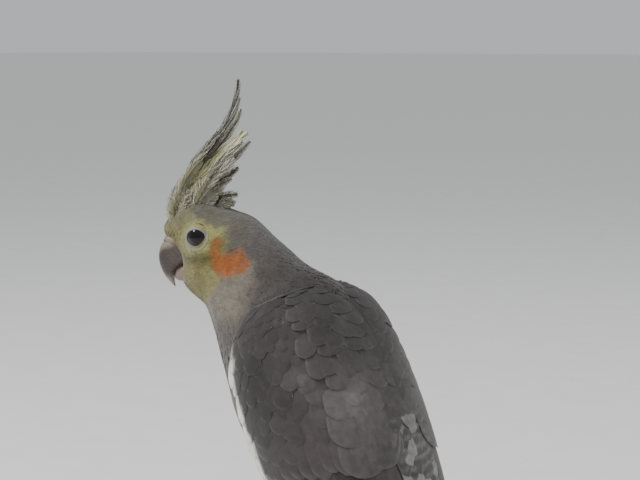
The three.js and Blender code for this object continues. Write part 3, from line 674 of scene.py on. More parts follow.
class PlumageSettings(bpy.types.PropertyGroup):
    """Colours and sizes of the plumage."""

    back: FloatVectorProperty(
        name="Back", description="Colour of the back and the wings", subtype="COLOR",
        default=tuple(tone(64, 59, 58))
    )
    breast: FloatVectorProperty(
        name="Breast", description="Colour of the breast", subtype="COLOR", default=tuple(tone(122, 114, 108))
    )
    face: FloatVectorProperty(
        name="Face", description="Yellow of the face", subtype="COLOR", default=tuple(tone(152, 145, 102))
    )
    cheek: FloatVectorProperty(
        name="Cheek", description="Orange of the cheek spot", subtype="COLOR",
        default=tuple(tone(178, 108, 66))
    )
    eye_patch: FloatVectorProperty(
        name="Eye patch", description="Pale yellow round the eye", subtype="COLOR",
        default=tuple(tone(176, 176, 122))
    )
    flight: FloatVectorProperty(
        name="Flight", description="Colour of the flight feathers", subtype="COLOR",
        default=tuple(tone(50, 47, 46))
    )
    head_step: FloatProperty(
        name="Head step", description="Distance between the roots on the head", default=0.00058, unit="LENGTH"
    )
    body_step: FloatProperty(
        name="Body step", description="Distance between the roots on the body", default=0.0013, unit="LENGTH"
    )
    depth: FloatProperty(
        name="Depth", description="How far the feathers stand out of the skin", default=0.0004, unit="LENGTH"
    )
    seed: IntProperty(name="Seed", description="Seed of the variation between feathers", default=11)


class StageSettings(bpy.types.PropertyGroup):
    """Floor, light and camera."""

    floor: FloatVectorProperty(
        name="Floor", description="Colour of the floor", subtype="COLOR", default=tuple(tone(242, 241, 239))
    )
    key: FloatProperty(name="Key light", description="Strength of the key light", default=26.0, unit="POWER")
    fill: FloatProperty(
        name="Fill light", description="Strength of the fill light", default=7.0, unit="POWER"
    )
    world: FloatProperty(name="World light", description="Strength of the light from all round", default=0.8)


# Skin

SKIN_DEPTH = -0.45  # the skin lies this far inside the outline of the plumage


def skin_rings(offset, shares=170, sides=132, caps=16):
    around = np.linspace(0, 2 * pi, sides, endpoint=False)
    steps = [(0, lean) for lean in np.linspace(-pi / 2, 0, caps, endpoint=False)[1:]]
    steps += [(share, 0) for share in np.linspace(0, 1, shares)]
    steps += [(1, lean) for lean in np.linspace(0, pi / 2, caps, endpoint=False)[1:]]
    share = np.repeat([s for s, _ in steps], sides)
    lean = np.repeat([a for _, a in steps], sides)
    rings = skin(share, np.tile(around, len(steps)), lean, offset).reshape(len(steps), sides, 3)
    return rings, skin([0], [0], -pi / 2, offset)[0], skin([1], [0], pi / 2, offset)[0]


def unwrap_rings(mesh, count, sides):
    """A UV map OFBake over a surface of rings: round it across, and from pole to pole up."""
    corner = np.empty(len(mesh.loops), np.int32)
    mesh.loops.foreach_get("vertex_index", corner)
    end = count * sides + 1
    ring = np.where(corner == 0, -0.5, np.where(corner == end, count - 0.5, (corner - 1) // sides))
    column = ((corner - 1) % sides).astype(float)
    face = np.repeat(np.arange(len(mesh.polygons)), [len(p.vertices) for p in mesh.polygons])
    widest = np.zeros(len(mesh.polygons))
    np.maximum.at(widest, face, np.where((corner == 0) | (corner == end), 0, column))
    column = np.where((widest[face] == sides - 1) & (column == 0), sides, column)
    pole = (corner == 0) | (corner == end)
    column = np.where(pole, widest[face] - 0.5, column)
    uv = np.stack([column / sides, (ring + 1) / (count + 1)], -1)
    layer = mesh.uv_layers.new(name="OFBake")
    layer.data.foreach_set("uv", uv.astype(np.float32).ravel())


def place_on_skin(p):
    """Where points of the skin lie on its unwrap."""
    line = SPINE[::4]
    parts = np.array_split(p, len(p) // 2000 + 1)
    nearest = np.concatenate(
        [np.argmin(((part[:, None] - line[None]) ** 2).sum(-1), axis=1) for part in parts]
    )
    share = SPINE_SHARE[::4][nearest]
    middle, dorsal, left, _ = sections(share)
    d = p - middle
    angle = np.arctan2((d * left).sum(-1), (d * dorsal).sum(-1)) % (2 * pi)
    return np.stack([angle / (2 * pi), 0.08 + 0.84 * share], -1)


THIGH = [  # forward, out, height and radius down a thigh
    (3, 10, 196, 5),
    (2, 10, 190, 7.4),
    (2.5, 11, 182, 8),
    (4, 11.6, 174, 6.4),
    (5, 12, 168.5, 4.2),
    (4.9, 12, 165.8, 2.9),
]


def thigh_rings(side, offset=0.0):
    stops = np.array(THIGH)
    t = np.linspace(0, 1, 40)
    place = np.linspace(0, 1, len(stops))
    run = np.stack([through(np.stack([place, stops[:, k]], -1), t) for k in range(4)], -1)
    path = np.stack([run[:, 0], -side * run[:, 1], run[:, 2]], -1)
    return tube_rings(path, np.maximum(run[:, 3] + offset, 0.6), vec(0, 1, 0), 40), path


# The coat: small feathers over the skin


def feather_template(name, rows, cols, widths, tip=0.36, ragged=0.0, body=0.11):
    """A thin leaf of length and width 1 that lies along X, with its root at the origin."""
    t = np.linspace(0, 1, rows)[:, None]
    v = np.sin(np.linspace(-pi / 2, pi / 2, cols))[None]
    reach = 1 - tip * (1 - np.sqrt(1 - 0.97 * v**2))
    reach = reach * (1 - ragged * (np.arange(cols) % 2))
    x = t * reach
    y = np.broadcast_to(-v * through(widths, t) * 0.5, x.shape)
    rise = np.broadcast_to(through([(0, -0.6), (0.3, 0.3), (0.65, 0.8), (1, 0.9)], t) - 0.1 * v**2, x.shape)
    body = body * np.sqrt(np.maximum(1 - v**2, 0)) * np.sin(pi * np.clip(t * 0.9 + 0.08, 0, 1))
    inner = np.ones((rows, cols), bool)
    inner[0], inner[-1], inner[:, 0], inner[:, -1] = False, False, False, False
    leaves = Leaves()
    grid = np.stack([x, y, np.zeros_like(x)], -1)
    leaves.add(grid, grid, v, t, (1, 1, 1), 0, 0, (0, 0))
    mesh = mesh_of(name, np.vstack(leaves.points) / MM, np.vstack(leaves.faces).tolist())
    upper = rise + np.where(inner, body, 0)
    put(mesh, "rise", "FLOAT", np.concatenate([upper.ravel(), (rise - body)[inner]]))
    put(mesh, "vane", "FLOAT_VECTOR", np.vstack(leaves.vane))
    put(mesh, "way", "FLOAT", np.concatenate([np.ones(rows * cols), -np.ones(np.count_nonzero(inner))]))
    template = link(name, mesh)
    template.hide_render = True
    return template


def coat_tree():
    """Geometry nodes that set one feather on each root and lay it on the skin."""
    tree = bpy.data.node_groups.new("Coat", "GeometryNodeTree")
    ports = tree.interface
    ports.new_socket("Roots", in_out="INPUT", socket_type="NodeSocketGeometry")
    ports.new_socket("Skin", in_out="INPUT", socket_type="NodeSocketObject")
    ports.new_socket("Feather", in_out="INPUT", socket_type="NodeSocketObject")
    ports.new_socket("Material", in_out="INPUT", socket_type="NodeSocketMaterial")
    ports.new_socket("Stray", in_out="INPUT", socket_type="NodeSocketFloat")
    ports.new_socket("Seed", in_out="INPUT", socket_type="NodeSocketInt")
    ports.new_socket("Coat", in_out="OUTPUT", socket_type="NodeSocketGeometry")
    make, wire = tree.nodes.new, tree.links.new
    given, result = make("NodeGroupInput"), make("NodeGroupOutput")

    def named(name, kind):
        node = make("GeometryNodeInputNamedAttribute")
        node.data_type = kind
        node.inputs["Name"].default_value = name
        return node.outputs["Attribute"]

    def vector_math(operation, a, b):
        node = make("ShaderNodeVectorMath")
        node.operation = operation
        wire(a, node.inputs[0])
        wire(b, node.inputs["Scale"] if operation == "SCALE" else node.inputs[1])
        return node.outputs[0]

    feather, ground = make("GeometryNodeObjectInfo"), make("GeometryNodeObjectInfo")
    wire(given.outputs["Feather"], feather.inputs["Object"])
    wire(given.outputs["Skin"], ground.inputs["Object"])
    turn, stray = make("FunctionNodeEulerToRotation"), make("FunctionNodeRandomValue")
    astray = make("FunctionNodeEulerToRotation")
    wire(named("turn", "FLOAT_VECTOR"), turn.inputs[0])
    stray.data_type = "FLOAT"
    swing, least = make("ShaderNodeCombineXYZ"), make("ShaderNodeMath")
    least.operation = "MULTIPLY"
    least.inputs[1].default_value = -1
    wire(given.outputs["Stray"], least.inputs[0])
    wire(least.outputs[0], stray.inputs[2])
    wire(given.outputs["Stray"], stray.inputs[3])
    wire(given.outputs["Seed"], stray.inputs["Seed"])
    wire(stray.outputs[1], swing.inputs["Z"])
    wire(swing.outputs[0], astray.inputs[0])
    both = make("FunctionNodeRotateRotation")
    both.rotation_space = "LOCAL"
    wire(turn.outputs[0], both.inputs[0])
    wire(astray.outputs[0], both.inputs[1])

    spread, real = make("GeometryNodeInstanceOnPoints"), make("GeometryNodeRealizeInstances")
    wire(given.outputs["Roots"], spread.inputs["Points"])
    wire(feather.outputs["Geometry"], spread.inputs["Instance"])
    wire(both.outputs[0], spread.inputs["Rotation"])
    wire(named("size", "FLOAT_VECTOR"), spread.inputs["Scale"])
    wire(spread.outputs[0], real.inputs[0])

    near_to, sample = make("GeometryNodeProximity"), make("GeometryNodeSampleNearestSurface")
    near_to.target_element = "FACES"
    sample.data_type = "FLOAT_VECTOR"
    wire(ground.outputs["Geometry"], near_to.inputs[0])
    wire(ground.outputs["Geometry"], sample.inputs["Mesh"])
    wire(make("GeometryNodeInputNormal").outputs[0], sample.inputs["Value"])
    height = make("ShaderNodeMath")
    height.operation = "MULTIPLY"
    wire(named("rise", "FLOAT"), height.inputs[0])
    wire(named("depth", "FLOAT"), height.inputs[1])
    lifted = vector_math("SCALE", sample.outputs["Value"], height.outputs[0])
    move, paint = make("GeometryNodeSetPosition"), make("GeometryNodeSetMaterial")
    keep = make("GeometryNodeStoreNamedAttribute")
    keep.data_type = "FLOAT_VECTOR"
    keep.inputs["Name"].default_value = "facing"
    wire(real.outputs[0], keep.inputs["Geometry"])
    wire(sample.outputs["Value"], keep.inputs["Value"])
    wire(keep.outputs["Geometry"], move.inputs["Geometry"])
    wire(vector_math("ADD", near_to.outputs["Position"], lifted), move.inputs["Position"])
    wire(move.outputs[0], paint.inputs["Geometry"])
    wire(given.outputs["Material"], paint.inputs["Material"])
    wire(paint.outputs[0], result.inputs["Coat"])
    return tree


def scatter(mesh, step_at, rng):
    """Roots spread over a mesh, each about as far from the next as step_at says, in millimetres."""
    mesh.calc_loop_triangles()
    corner = np.empty(len(mesh.loop_triangles) * 3, np.int32)
    mesh.loop_triangles.foreach_get("vertices", corner)
    p = points_of(mesh)[corner.reshape(-1, 3)]
    area = np.linalg.norm(np.cross(p[:, 1] - p[:, 0], p[:, 2] - p[:, 0]), axis=1) / 2
    middle = p.mean(1)
    weight = area / step_at(middle) ** 2
    picked = rng.choice(len(p), size=int(weight.sum() * 7), p=weight / weight.sum())
    a, b = rng.random((2, len(picked), 1))
    flip = a + b > 1
    a, b = np.where(flip, 1 - a, a), np.where(flip, 1 - b, b)
    q = p[picked]
    spots = q[:, 0] + a * (q[:, 1] - q[:, 0]) + b * (q[:, 2] - q[:, 0])
    step = step_at(spots)
    tree = kdtree.KDTree(len(spots))
    for i, spot in enumerate(spots):
        tree.insert(spot, i)
    tree.balance()
    free = np.ones(len(spots), bool)
    kept = []
    for i, spot in enumerate(spots):
        if free[i]:
            kept.append(i)
            for _, other, _ in tree.find_range(spot, step[i]):
                free[other] = False
    return spots[kept]


def euler_of(forward, up):
    """The XYZ Euler angles that turn X to forward and Z to up."""
    x = unit(forward)
    z = unit(up - (up * x).sum(-1, keepdims=True) * x)
    y = np.cross(z, x)
    return np.stack(
        [np.arctan2(y[:, 2], z[:, 2]), np.arcsin(np.clip(-x[:, 2], -1, 1)), np.arctan2(x[:, 1], x[:, 0])], -1
    )


def grow(name, slot, skin_piece, template, material, roots, flow, normal, length, width, depth, colour,
         fringe, uv):
    """Builds one piece of the coat over a skin."""
    kit = bpy.context.scene.cockatiel_plumage
    points = mesh_of(name + "_roots", roots, [])
    put(points, "turn", "FLOAT_VECTOR", euler_of(flow, normal))
    put(points, "size", "FLOAT_VECTOR", np.stack([length * MM, width * MM, np.full(len(roots), MM)], -1))
    put(points, "depth", "FLOAT", depth * MM)
    holder = link(name + "_roots", points)
    tree = bpy.data.node_groups.get("Coat") or coat_tree()
    modifier = holder.modifiers.new("Coat", "NODES")
    modifier.node_group = tree
    given = {"Skin": skin_piece, "Feather": template, "Material": material, "Stray": 0.16, "Seed": kit.seed}
    for item in tree.interface.items_tree:
        if item.in_out == "INPUT" and item.name in given:
            modifier[item.identifier] = given[item.name]
    holder.update_tag()
    bpy.context.view_layer.update()
    graph = bpy.context.evaluated_depsgraph_get()
    mesh = bpy.data.meshes.new_from_object(holder.evaluated_get(graph), depsgraph=graph)
    mesh.name = name
    bpy.data.objects.remove(holder)
    each = len(template.data.vertices)
    if len(mesh.vertices) != each * len(roots):
        raise RuntimeError(f"{name}: {len(mesh.vertices)} points for {len(roots)} feathers of {each}")
    vane = take(mesh, "vane", 3)
    vane[:, 2] = np.repeat(length, each)
    p = points_of(mesh)
    facing = take(mesh, "facing", 3) * take(mesh, "way", 1)[:, None]
    sides = np.array([tuple(face.vertices) for face in template.data.polygons])
    corners = p.reshape(-1, each, 3)[:, sides]
    lie = facing.reshape(-1, each, 3)[:, sides].mean(2)
    outside = unit(np.cross(corners[:, :, 2] - corners[:, :, 0], corners[:, :, 3] - corners[:, :, 1]))
    plan = points_of(template.data)[sides]
    upright = np.cross(plan[:, 2] - plan[:, 0], plan[:, 3] - plan[:, 1])[:, 2] > 0
    flat = ~((outside * lie).sum(-1) < -0.25)[:, upright].any(1)
    bpy.data.meshes.remove(mesh)
    kept = np.repeat(flat, each)
    p, vane, facing = p[kept], vane[kept], facing[kept]
    roots, flow, length, fringe, uv = roots[flat], flow[flat], length[flat], fringe[flat], uv[flat]
    faces = (np.arange(len(roots))[:, None, None] * each + sides).reshape(-1, sides.shape[1])
    mesh = mesh_of(name, p, faces.tolist())
    mesh.materials.append(material)
    rng = np.random.default_rng(kit.seed + len(roots))
    own = np.repeat(colour(roots + flow * length[:, None] * 0.5), each, axis=0)
    shade = np.repeat(1 + 0.045 * rng.normal(size=len(roots)), each)[:, None]
    # painted shade: each feather darkens towards its root, where the feathers lying over it shade it
    painted_root_shade = (0.95 + 0.05 * smooth(0.1, 0.55, vane[:, 1]))[:, None]
    tint = (0.5 * own + 0.5 * colour(p)) * shade * painted_root_shade
    put(mesh, "tint", "FLOAT_COLOR", np.clip(tint, 0, 1))
    put(mesh, "vane", "FLOAT_VECTOR", vane)
    put(mesh, "fringe", "FLOAT", np.repeat(fringe, each))
    soften(mesh, facing, 0.8)
    place = np.stack([vane[:, 0] * 0.5, vane[:, 1] - 0.5], -1) * 0.003
    map_uv(mesh, "OFBake", np.repeat(uv, each, axis=0) + place)
    return dress(link(name, mesh), None, slot)


def under_wing(p):
    b = p - TORSO_CENTRE
    along, left, up = (b @ BODY[k] for k in range(3))
    share = (along - WING_ALONG[0]) / (WING_ALONG[1] - WING_ALONG[0])
    centre_left, centre_up, radius, half, run, rise = wing_arc(share)
    x, y = np.abs(left) - centre_left, up - centre_up
    angle = np.arctan2(x * run + y * rise, -x * rise + y * run)
    return (share > 0.09) & (share < 0.8) & (np.abs(angle) < half * 0.84) & (np.hypot(x, y) < radius + 2)


def coat_of_body(skin_piece, leg_skins):
    kit = bpy.context.scene.cockatiel_plumage
    rng = np.random.default_rng(kit.seed)
    head_step, body_step = kit.head_step / MM, kit.body_step / MM

    def step_at(p):
        d = p - HEAD_CENTRE - HEAD[0] * 2
        far = np.linalg.norm(d, axis=1)
        return mix(head_step, body_step, smooth(14, 60, far))

    roots = scatter(skin_piece.data, step_at, rng)
    d = roots - HEAD_CENTRE
    f, l, u = (d @ HEAD[k] for k in range(3))
    bill = (f > 10.6) & (np.abs(l) < 4.6) & (u < 2.6) & (u > -13)
    near_eye = np.zeros(len(roots), bool)
    for side in (1, -1):
        centre, axis, across, rise = eye_of(side)
        e = roots - centre
        near_eye |= (e @ axis > 0) & (
            np.hypot((e @ across - 0.45) / 4.35, (e @ rise + 0.3) / 3.5) < 1)
    roots = roots[~(bill | near_eye | under_wing(roots))]
    normal = normal_at(roots)
    place = place_on_skin(roots)
    share = (place[:, 1] - 0.08) / 0.84
    _, _, _, tailward = sections(share)
    d = roots - HEAD_CENTRE
    f, l, u = (d @ HEAD[k] for k in range(3))
    brow = smooth(8, 13, f) * smooth(1.5, 4, u)
    flow = tailward + smooth(0.08, 0.3, share)[:, None] * vec(0, 0, -0.35)
    flow = flow + brow[:, None] * (HEAD[2] * 1.6 + HEAD[0] * 0.5)
    flow = unit(flow - (flow * normal).sum(-1, keepdims=True) * normal)
    flow = unit(flow + np.cross(normal, flow) * 0.14 * ripple(roots, 14, 21)[:, None])
    step = step_at(roots)
    count = len(roots)
    grown = smooth(head_step, body_step, step)
    length = step * mix(4.6, 4.2, grown) * (1 + 0.14 * rng.normal(size=count)).clip(0.7, 1.3)
    width = step * mix(2.1, 2.0, grown) * (1 + 0.12 * rng.normal(size=count)).clip(0.7, 1.3)
    face = smooth(5, 12, f + 0.2 * np.abs(u)) * (1 - brow)
    length = length * (1 - 0.38 * face) * (1 + 0.5 * brow)
    width = width * (1 - 0.08 * face)
    depth = (kit.depth / MM) * mix(0.3, 1, grown) * (1 + 2 * brow)
    depth = depth * (1 + 0.12 * rng.normal(size=count)).clip(0.6, 1.4)
    fringe = mix(0.0, 0.12, grown)
    fine = feather_template("feather_fine", 5, 3, [(0, 0.6), (0.4, 1), (0.75, 0.8), (1, 0.3)], 0.2)
    broad = feather_template("feather_broad", 6, 5, [(0, 0.6), (0.45, 1), (0.8, 0.8), (1, 0.42)], 0.3, 0.05)
    material = feather_material("plumage", 3.0, 0.0, tuple(tone(150, 144, 138)), 0.85, 0.00003)
    parts = [
        ("coat_head", "plumage_head", share < 0.17, fine),
        ("coat_neck", "plumage_body", (share >= 0.17) & (share < 0.31), fine),
        ("coat_breast", "plumage_body", (share >= 0.31) & (share < 0.55), broad),
        ("coat_belly", "plumage_body", share >= 0.55, broad),
    ]
    made = []
    for name, slot, inside, template in parts:
        k = np.flatnonzero(inside)
        most = int(190000 / (len(template.data.polygons) * 2))
        for part in range(-(-len(k) // most)):
            j = k[part * most : (part + 1) * most]
            label = name if len(k) <= most else f"{name}_{part + 1}"
            made.append(
                grow(label, slot, skin_piece, template, material, roots[j], flow[j], normal[j], length[j],
                     width[j], depth[j], plumage, fringe[j], place[j])
            )
            print(label, len(j), "feathers")
    for side, leg in leg_skins:
        roots = scatter(leg.data, lambda p: np.full(len(p), 1.7), rng)
        _, path = thigh_rings(side)
        normal = unit(roots - path[np.argmin(((roots[:, None] - path[None]) ** 2).sum(-1), axis=1)])
        flow = vec(0, 0, -1) - (normal @ vec(0, 0, -1))[:, None] * normal
        flow = unit(flow + 1e-6)
        keep = roots[:, 2] < 196
        roots, normal, flow = roots[keep], normal[keep], flow[keep]
        n = len(roots)
        size = 1 - 0.5 * smooth(176, 166, roots[:, 2])
        uv = np.stack([0.5 + roots[:, 1] * 0.004, (roots[:, 2] - 160) * 0.0015], -1)
        label = f"coat_thigh_{'left' if side > 0 else 'right'}"
        depth = 0.9 * size * (1 + 0.2 * rng.normal(size=n)).clip(0.5, 1.5)
        made.append(
            grow(label, "plumage_body", leg, broad, material, roots, flow, normal, 7.5 * size, 3 * size,
                 depth, plumage, np.full(n, 0.4), uv)
        )
    for template in (fine, broad):
        bpy.data.objects.remove(template)
    return made


# Eyes

EYE = {"radius": 4.5, "forward": 2.5, "up": 2.3, "toe_in": 10, "proud": 1.1}
OPENING = (3.72, 3.1)  # half the width and half the height of the round that the lids leave
LID_SHIFT = (0.5, -0.1)  # the bare ring lies this much further forward and up than the eye
LIDS = (4.8, 4.2)  # half the width and half the height of the bare ring round the eye


def eye_of(side):
    """The middle of an eye, the way that it looks, and the directions across and up its face."""
    toe = radians(EYE["toe_in"])
    axis = HEAD[1] * side * cos(toe) + HEAD[0] * sin(toe)
    surface = meet(on_head(EYE["forward"], 0, EYE["up"])[None], (HEAD[1] * side)[None])[0]
    centre = surface + axis * (EYE["proud"] - EYE["radius"])
    across = unit(HEAD[0] - (HEAD[0] @ axis) * axis)
    return centre, axis, across, unit(HEAD[2] - (HEAD[2] @ axis) * axis)


def eyeball(side):
    centre, axis, across, rise = eye_of(side)
    rows, sides = 48, 64
    polar = np.linspace(0, pi, rows + 1)[1:-1]
    around = np.linspace(0, 2 * pi, sides, endpoint=False)
    swell = 0.28 * near(polar, 0, 0.42)
    r = EYE["radius"] + swell
    a, b = np.meshgrid(polar, around, indexing="ij")
    ring = (axis * np.cos(a)[..., None] + (across * np.cos(b)[..., None] + rise * np.sin(b)[..., None])
            * np.sin(a)[..., None]) * r[:, None, None] + centre
    points, faces = rings_mesh(ring, centre + axis * (EYE["radius"] + 0.28), centre - axis * EYE["radius"])
    mesh = mesh_of(f"eyeball_{'left' if side > 0 else 'right'}", points, faces)
    spread = np.concatenate([[0], np.repeat(polar, sides), [pi]])
    put(mesh, "spread", "FLOAT", spread)
    return link(mesh.name, mesh)


def lid_ring(side):
    """The bare, pale ring of skin round an eye, from the eyeball's edge out to the feathers."""
    centre, axis, across, rise = eye_of(side)
    sides, rows = 120, 15
    around = np.linspace(0, 2 * pi, sides, endpoint=False)
    spread = np.linspace(0, 1, rows)
    rng = np.random.default_rng(5)
    scale = 1 + 0.012 * ripple(np.stack([np.cos(around), np.sin(around), 0 * around], -1) * 9, 5, 8)
    rings = []
    for s in spread:
        half_wide = mix(OPENING[0] - 0.35, LIDS[0] + 0.3, s)
        half_high = mix(OPENING[1] - 0.35, LIDS[1] + 0.3, s)
        reach = np.stack([half_wide * np.cos(around), half_high * np.sin(around)], -1) * scale[:, None]
        reach = reach + s * np.array(LID_SHIFT)
        flat = centre + reach[:, :1] * across + reach[:, 1:] * rise
        ball = np.sqrt(np.maximum(EYE["radius"] ** 2 - (reach**2).sum(-1), 0.5)) + 0.1
        ground = ((meet(flat, np.broadcast_to(axis, flat.shape), SKIN_DEPTH) - centre) @ axis) + 0.15
        puff = 0.4 * sin(pi * min(s * 1.1 + 0.1, 1)) ** 0.8
        folds = 0.07 * np.cos(around * 30 + 1.5 * ripple(reach[:, [0, 1, 1]] * 3, 6, 9)) * sin(pi * s)
        cross = np.stack([around * 4, np.full(sides, s * 8), around * 0], -1)
        folds = folds + 0.05 * ripple(cross, 1.2, 4) * sin(pi * s)
        height = np.maximum(mix(ball, ground, smooth(0.1, 0.85, s)), ball)
        rings.append(flat + axis * (height + puff + folds)[:, None])
    under = [ring - axis * (0.9 + 0.5 * sin(pi * s)) for s, ring in zip(spread[::-1], rings[::-1])]
    loop = np.array(rings + under)
    n = len(loop)
    points = loop.reshape(-1, 3)
    faces = []
    for i in range(n):
        row, following = i * sides, (i + 1) % n * sides
        for j in range(sides):
            k = (j + 1) % sides
            faces.append((row + j, row + k, following + k, following + j))
    mesh = mesh_of(f"lid_{'left' if side > 0 else 'right'}", points, outward(points, faces))
    inner = np.concatenate([np.repeat(1 - s, sides) for s in np.concatenate([spread, spread[::-1]])])
    x, y = (points - centre) @ across, (points - centre) @ rise
    shade = np.tile(tone(130, 126, 120), (len(points), 1))
    shade = blend_in(shade, tone(104, 96, 84), smooth(0.8, 1, inner))
    reach = np.hypot((x - 0.55) / 4.75, (y + 0.35) / 3.95) + 0.02 * ripple(points, 1.5, 6)
    shade = blend_in(shade, plumage(points), smooth(0.97, 1.07, reach))
    put(mesh, "tint", "FLOAT_COLOR", shade * (1 + 0.1 * rng.normal(size=len(shade)).clip(-1, 1))[:, None])
    return link(mesh.name, mesh)


def eye_material():
    s = Shades("eye")
    spread = s.attribute("spread").outputs["Fac"]
    iris = s.mix(s.ramp(spread, 0.40, 0.47), (0.002, 0.002, 0.002), (0.008, 0.005, 0.004))
    threads = s.ramp(s.noise(900, 3), 0.35, 0.7, 0.7, 1.5)
    grey = s.node("ShaderNodeCombineColor")
    for socket in grey.inputs[:3]:
        s.wire(threads, socket)
    colour = s.mix(1.0, iris, grey.outputs[0], "MULTIPLY")
    return s.finish(colour, 0.06, None, Specular_IOR_Level=0.35)


# Bill

CULMEN = [(10, 3.8), (21.5, 5), (23.8, -6.4), (17.3, -15)]
UPPER_EDGE = [(8, -7), (14, -7.4), (17.8, -10), (17, -14.7)]
UPPER_HALF_WIDTHS = [4.9, 4.6, 3.6, 0.35]
LOWER_KEEL = [(6.5, -12.6), (12, -14.2), (16.2, -13.6), (16.1, -11.6)]
LOWER_RIM = [(6.5, -7.6), (12, -6.8), (15.4, -7.4), (16.4, -11.0)]
LOWER_HALF_WIDTHS = [4.3, 4.2, 3.4, 1.2]


def mandible(name, top, bottom, half_widths, square, lower):
    count, sides = 64, 56
    t = np.linspace(0, 1, count)
    angle = np.linspace(0, 2 * pi, sides, endpoint=False)
    a = np.stack([bezier([(x, 0, z) for x, z in curve], t) for curve in (top, bottom)])
    half = through(np.stack([np.linspace(0, 1, len(half_widths)), half_widths], -1), t)
    rise = (1 + np.cos(angle)) / 2
    out = np.sign(np.sin(angle)) * np.abs(np.sin(angle)) ** square
    middle = a[1][:, None] + (a[0] - a[1])[:, None] * rise[None, :, None]
    growth = 1 + 0.006 * np.sin(t * 78 + 2 * np.sin(t * 9))[:, None] * (1 if not lower else 0.6)
    left = half[:, None] * out[None] * growth
    rings = on_head(middle[..., 0], left, middle[..., 2])
    points, faces = rings_mesh(rings)
    mesh = mesh_of(name, points, faces)
    d = points - HEAD_CENTRE
    f, u = d @ HEAD[0], d @ HEAD[2]
    if lower:
        shade = np.tile(tone(130, 114, 104), (len(points), 1))
        shade = blend_in(shade, tone(70, 58, 54), 0.7 * smooth(-11.5, -14, u))
    else:
        shade = np.tile(tone(78, 68, 63), (len(points), 1))
        edge = u + 0.3 * f - 4.2 + 0.5 * ripple(points, 3, 41)
        shade = blend_in(shade, tone(128, 118, 103), smooth(-0.9, 0.9, edge))
        shade = blend_in(shade, tone(48, 40, 38), near(f, 20, 3.4) * near(u, -4.5, 4.4) * 0.85)
        shade = blend_in(shade, tone(150, 139, 132), smooth(-9, -14, u))
    put(mesh, "tint", "FLOAT_COLOR", shade)
    return link(name, mesh)


def cere_piece():
    rows, sides = 60, 84
    polar = np.linspace(0, pi, rows + 1)[1:-1]
    around = np.linspace(0, 2 * pi, sides, endpoint=False)
    a, b = np.meshgrid(polar, around, indexing="ij")
    shape = np.stack([np.cos(a), np.sin(a) * np.cos(b), np.sin(a) * np.sin(b)], -1)
    swell = 1 + 0.03 * ripple(shape.reshape(-1, 3), 0.7, 2).reshape(a.shape)
    f, l = 13.6 + 4.2 * shape[..., 0] * swell, 4.8 * shape[..., 1] * swell
    u = 1.6 + 2.6 * shape[..., 2] * swell
    for side in (1, -1):
        reach = np.sqrt((f - 16.8) ** 2 + (l - side * 2.6) ** 2 + (u - 2.8) ** 2)
        lip = 0.22 * near(reach, 1.25, 0.4)
        pit = 1.4 * smooth(1.0, 0.25, reach)
        f, u = f + lip * 0.5 - pit * 0.8, u + lip * 0.6 - pit * 0.6
    rings = on_head(f, l, u)
    points, faces = rings_mesh(rings)
    mesh = mesh_of("cere", points, faces)
    d = points - HEAD_CENTRE
    pf, pl = d @ HEAD[0], d @ HEAD[1]
    shade = np.tile(tone(132, 122, 108), (len(points), 1))
    # painted shade: the nostril pits are coloured dark
    dark = np.minimum(np.hypot(pf - 16.8, pl - 2.6), np.hypot(pf - 16.8, pl + 2.6))
    shade = blend_in(shade, tone(34, 28, 26), smooth(1.0, 0.4, dark))
    put(mesh, "tint", "FLOAT_COLOR", shade)
    return link("cere", mesh)


# Wings


def leaf_grid(rows, cols, widths, tip):
    """Shares of a feather's length and width over a grid whose outer columns end before the middle one."""
    v = np.sin(np.linspace(-pi / 2, pi / 2, cols))
    t = np.linspace(0, 1, rows)[:, None]
    reach = 1 - tip * (1 - np.sqrt(1 - 0.985 * v**2))
    return t * reach, v[None] * through(widths, t * reach), t * np.ones(cols), v


WIDE = [(0, 0.5), (0.35, 0.9), (0.7, 1), (1, 0.92)]
LONG = [(0, 0.45), (0.3, 0.85), (0.7, 1), (0.92, 0.72), (1, 0.5)]


def vane_body(thickness, t, v):
    """Thickness over a feather: full along its middle, and thin at its edges and its ends."""
    across = thickness * np.sqrt(np.maximum(1 - v**2, 0))[None]
    return across * np.sin(pi * np.clip(0.1 + 0.85 * t, 0, 1)) ** 0.5


def wing_feather(leaves, side, root, tip, width, lift, tilt, tint, fringe, rows=9, cols=9, widths=WIDE,
                 point=None, thickness=0.16, camber=0.12):
    root = (max(root[0], 0.012), root[1])
    length = abs(tip[0] - root[0]) * (WING_ALONG[0] - WING_ALONG[1])
    point = min(0.5 * width / max(length, 1), 0.5) if point is None else point
    time, out, t, v = leaf_grid(rows, cols, widths, point)
    share = mix(root[0], tip[0], time)
    spread = width / 2 / wing_width(np.clip(share, 0, 0.9))
    across = mix(root[1], tip[1], time) + out * spread
    height = mix(lift[0], lift[1], smooth(0, 0.75, time)) + tilt * out + camber * (1 - out**2)
    height = height + 0.5 * thickness * near(out, 0, 0.1) * (1 - time)
    height = height - 3.2 * smooth(0.075, 0.0, share)
    lie = unit(wing_point(side, share, across, 4) - wing_point(side, share, across, 0))
    body = vane_body(thickness, t, v)
    top = wing_point(side, share, across, height + body / 2)
    bottom = wing_point(side, share, across, height - body / 2)
    if side < 0:
        top, bottom, lie = top[:, ::-1], bottom[:, ::-1], lie[:, ::-1]
        colour = tint(side, share[:, ::-1], across[:, ::-1], t[:, ::-1], -v[::-1]) if callable(tint) else tint
        v = -v[::-1]
    else:
        colour = tint(side, share, across, t, v) if callable(tint) else tint
    place = (0.5 + side * 0.24 * root[1], root[0])
    leaves.add(top, bottom, v[None], t, colour, fringe, length, place, lie)


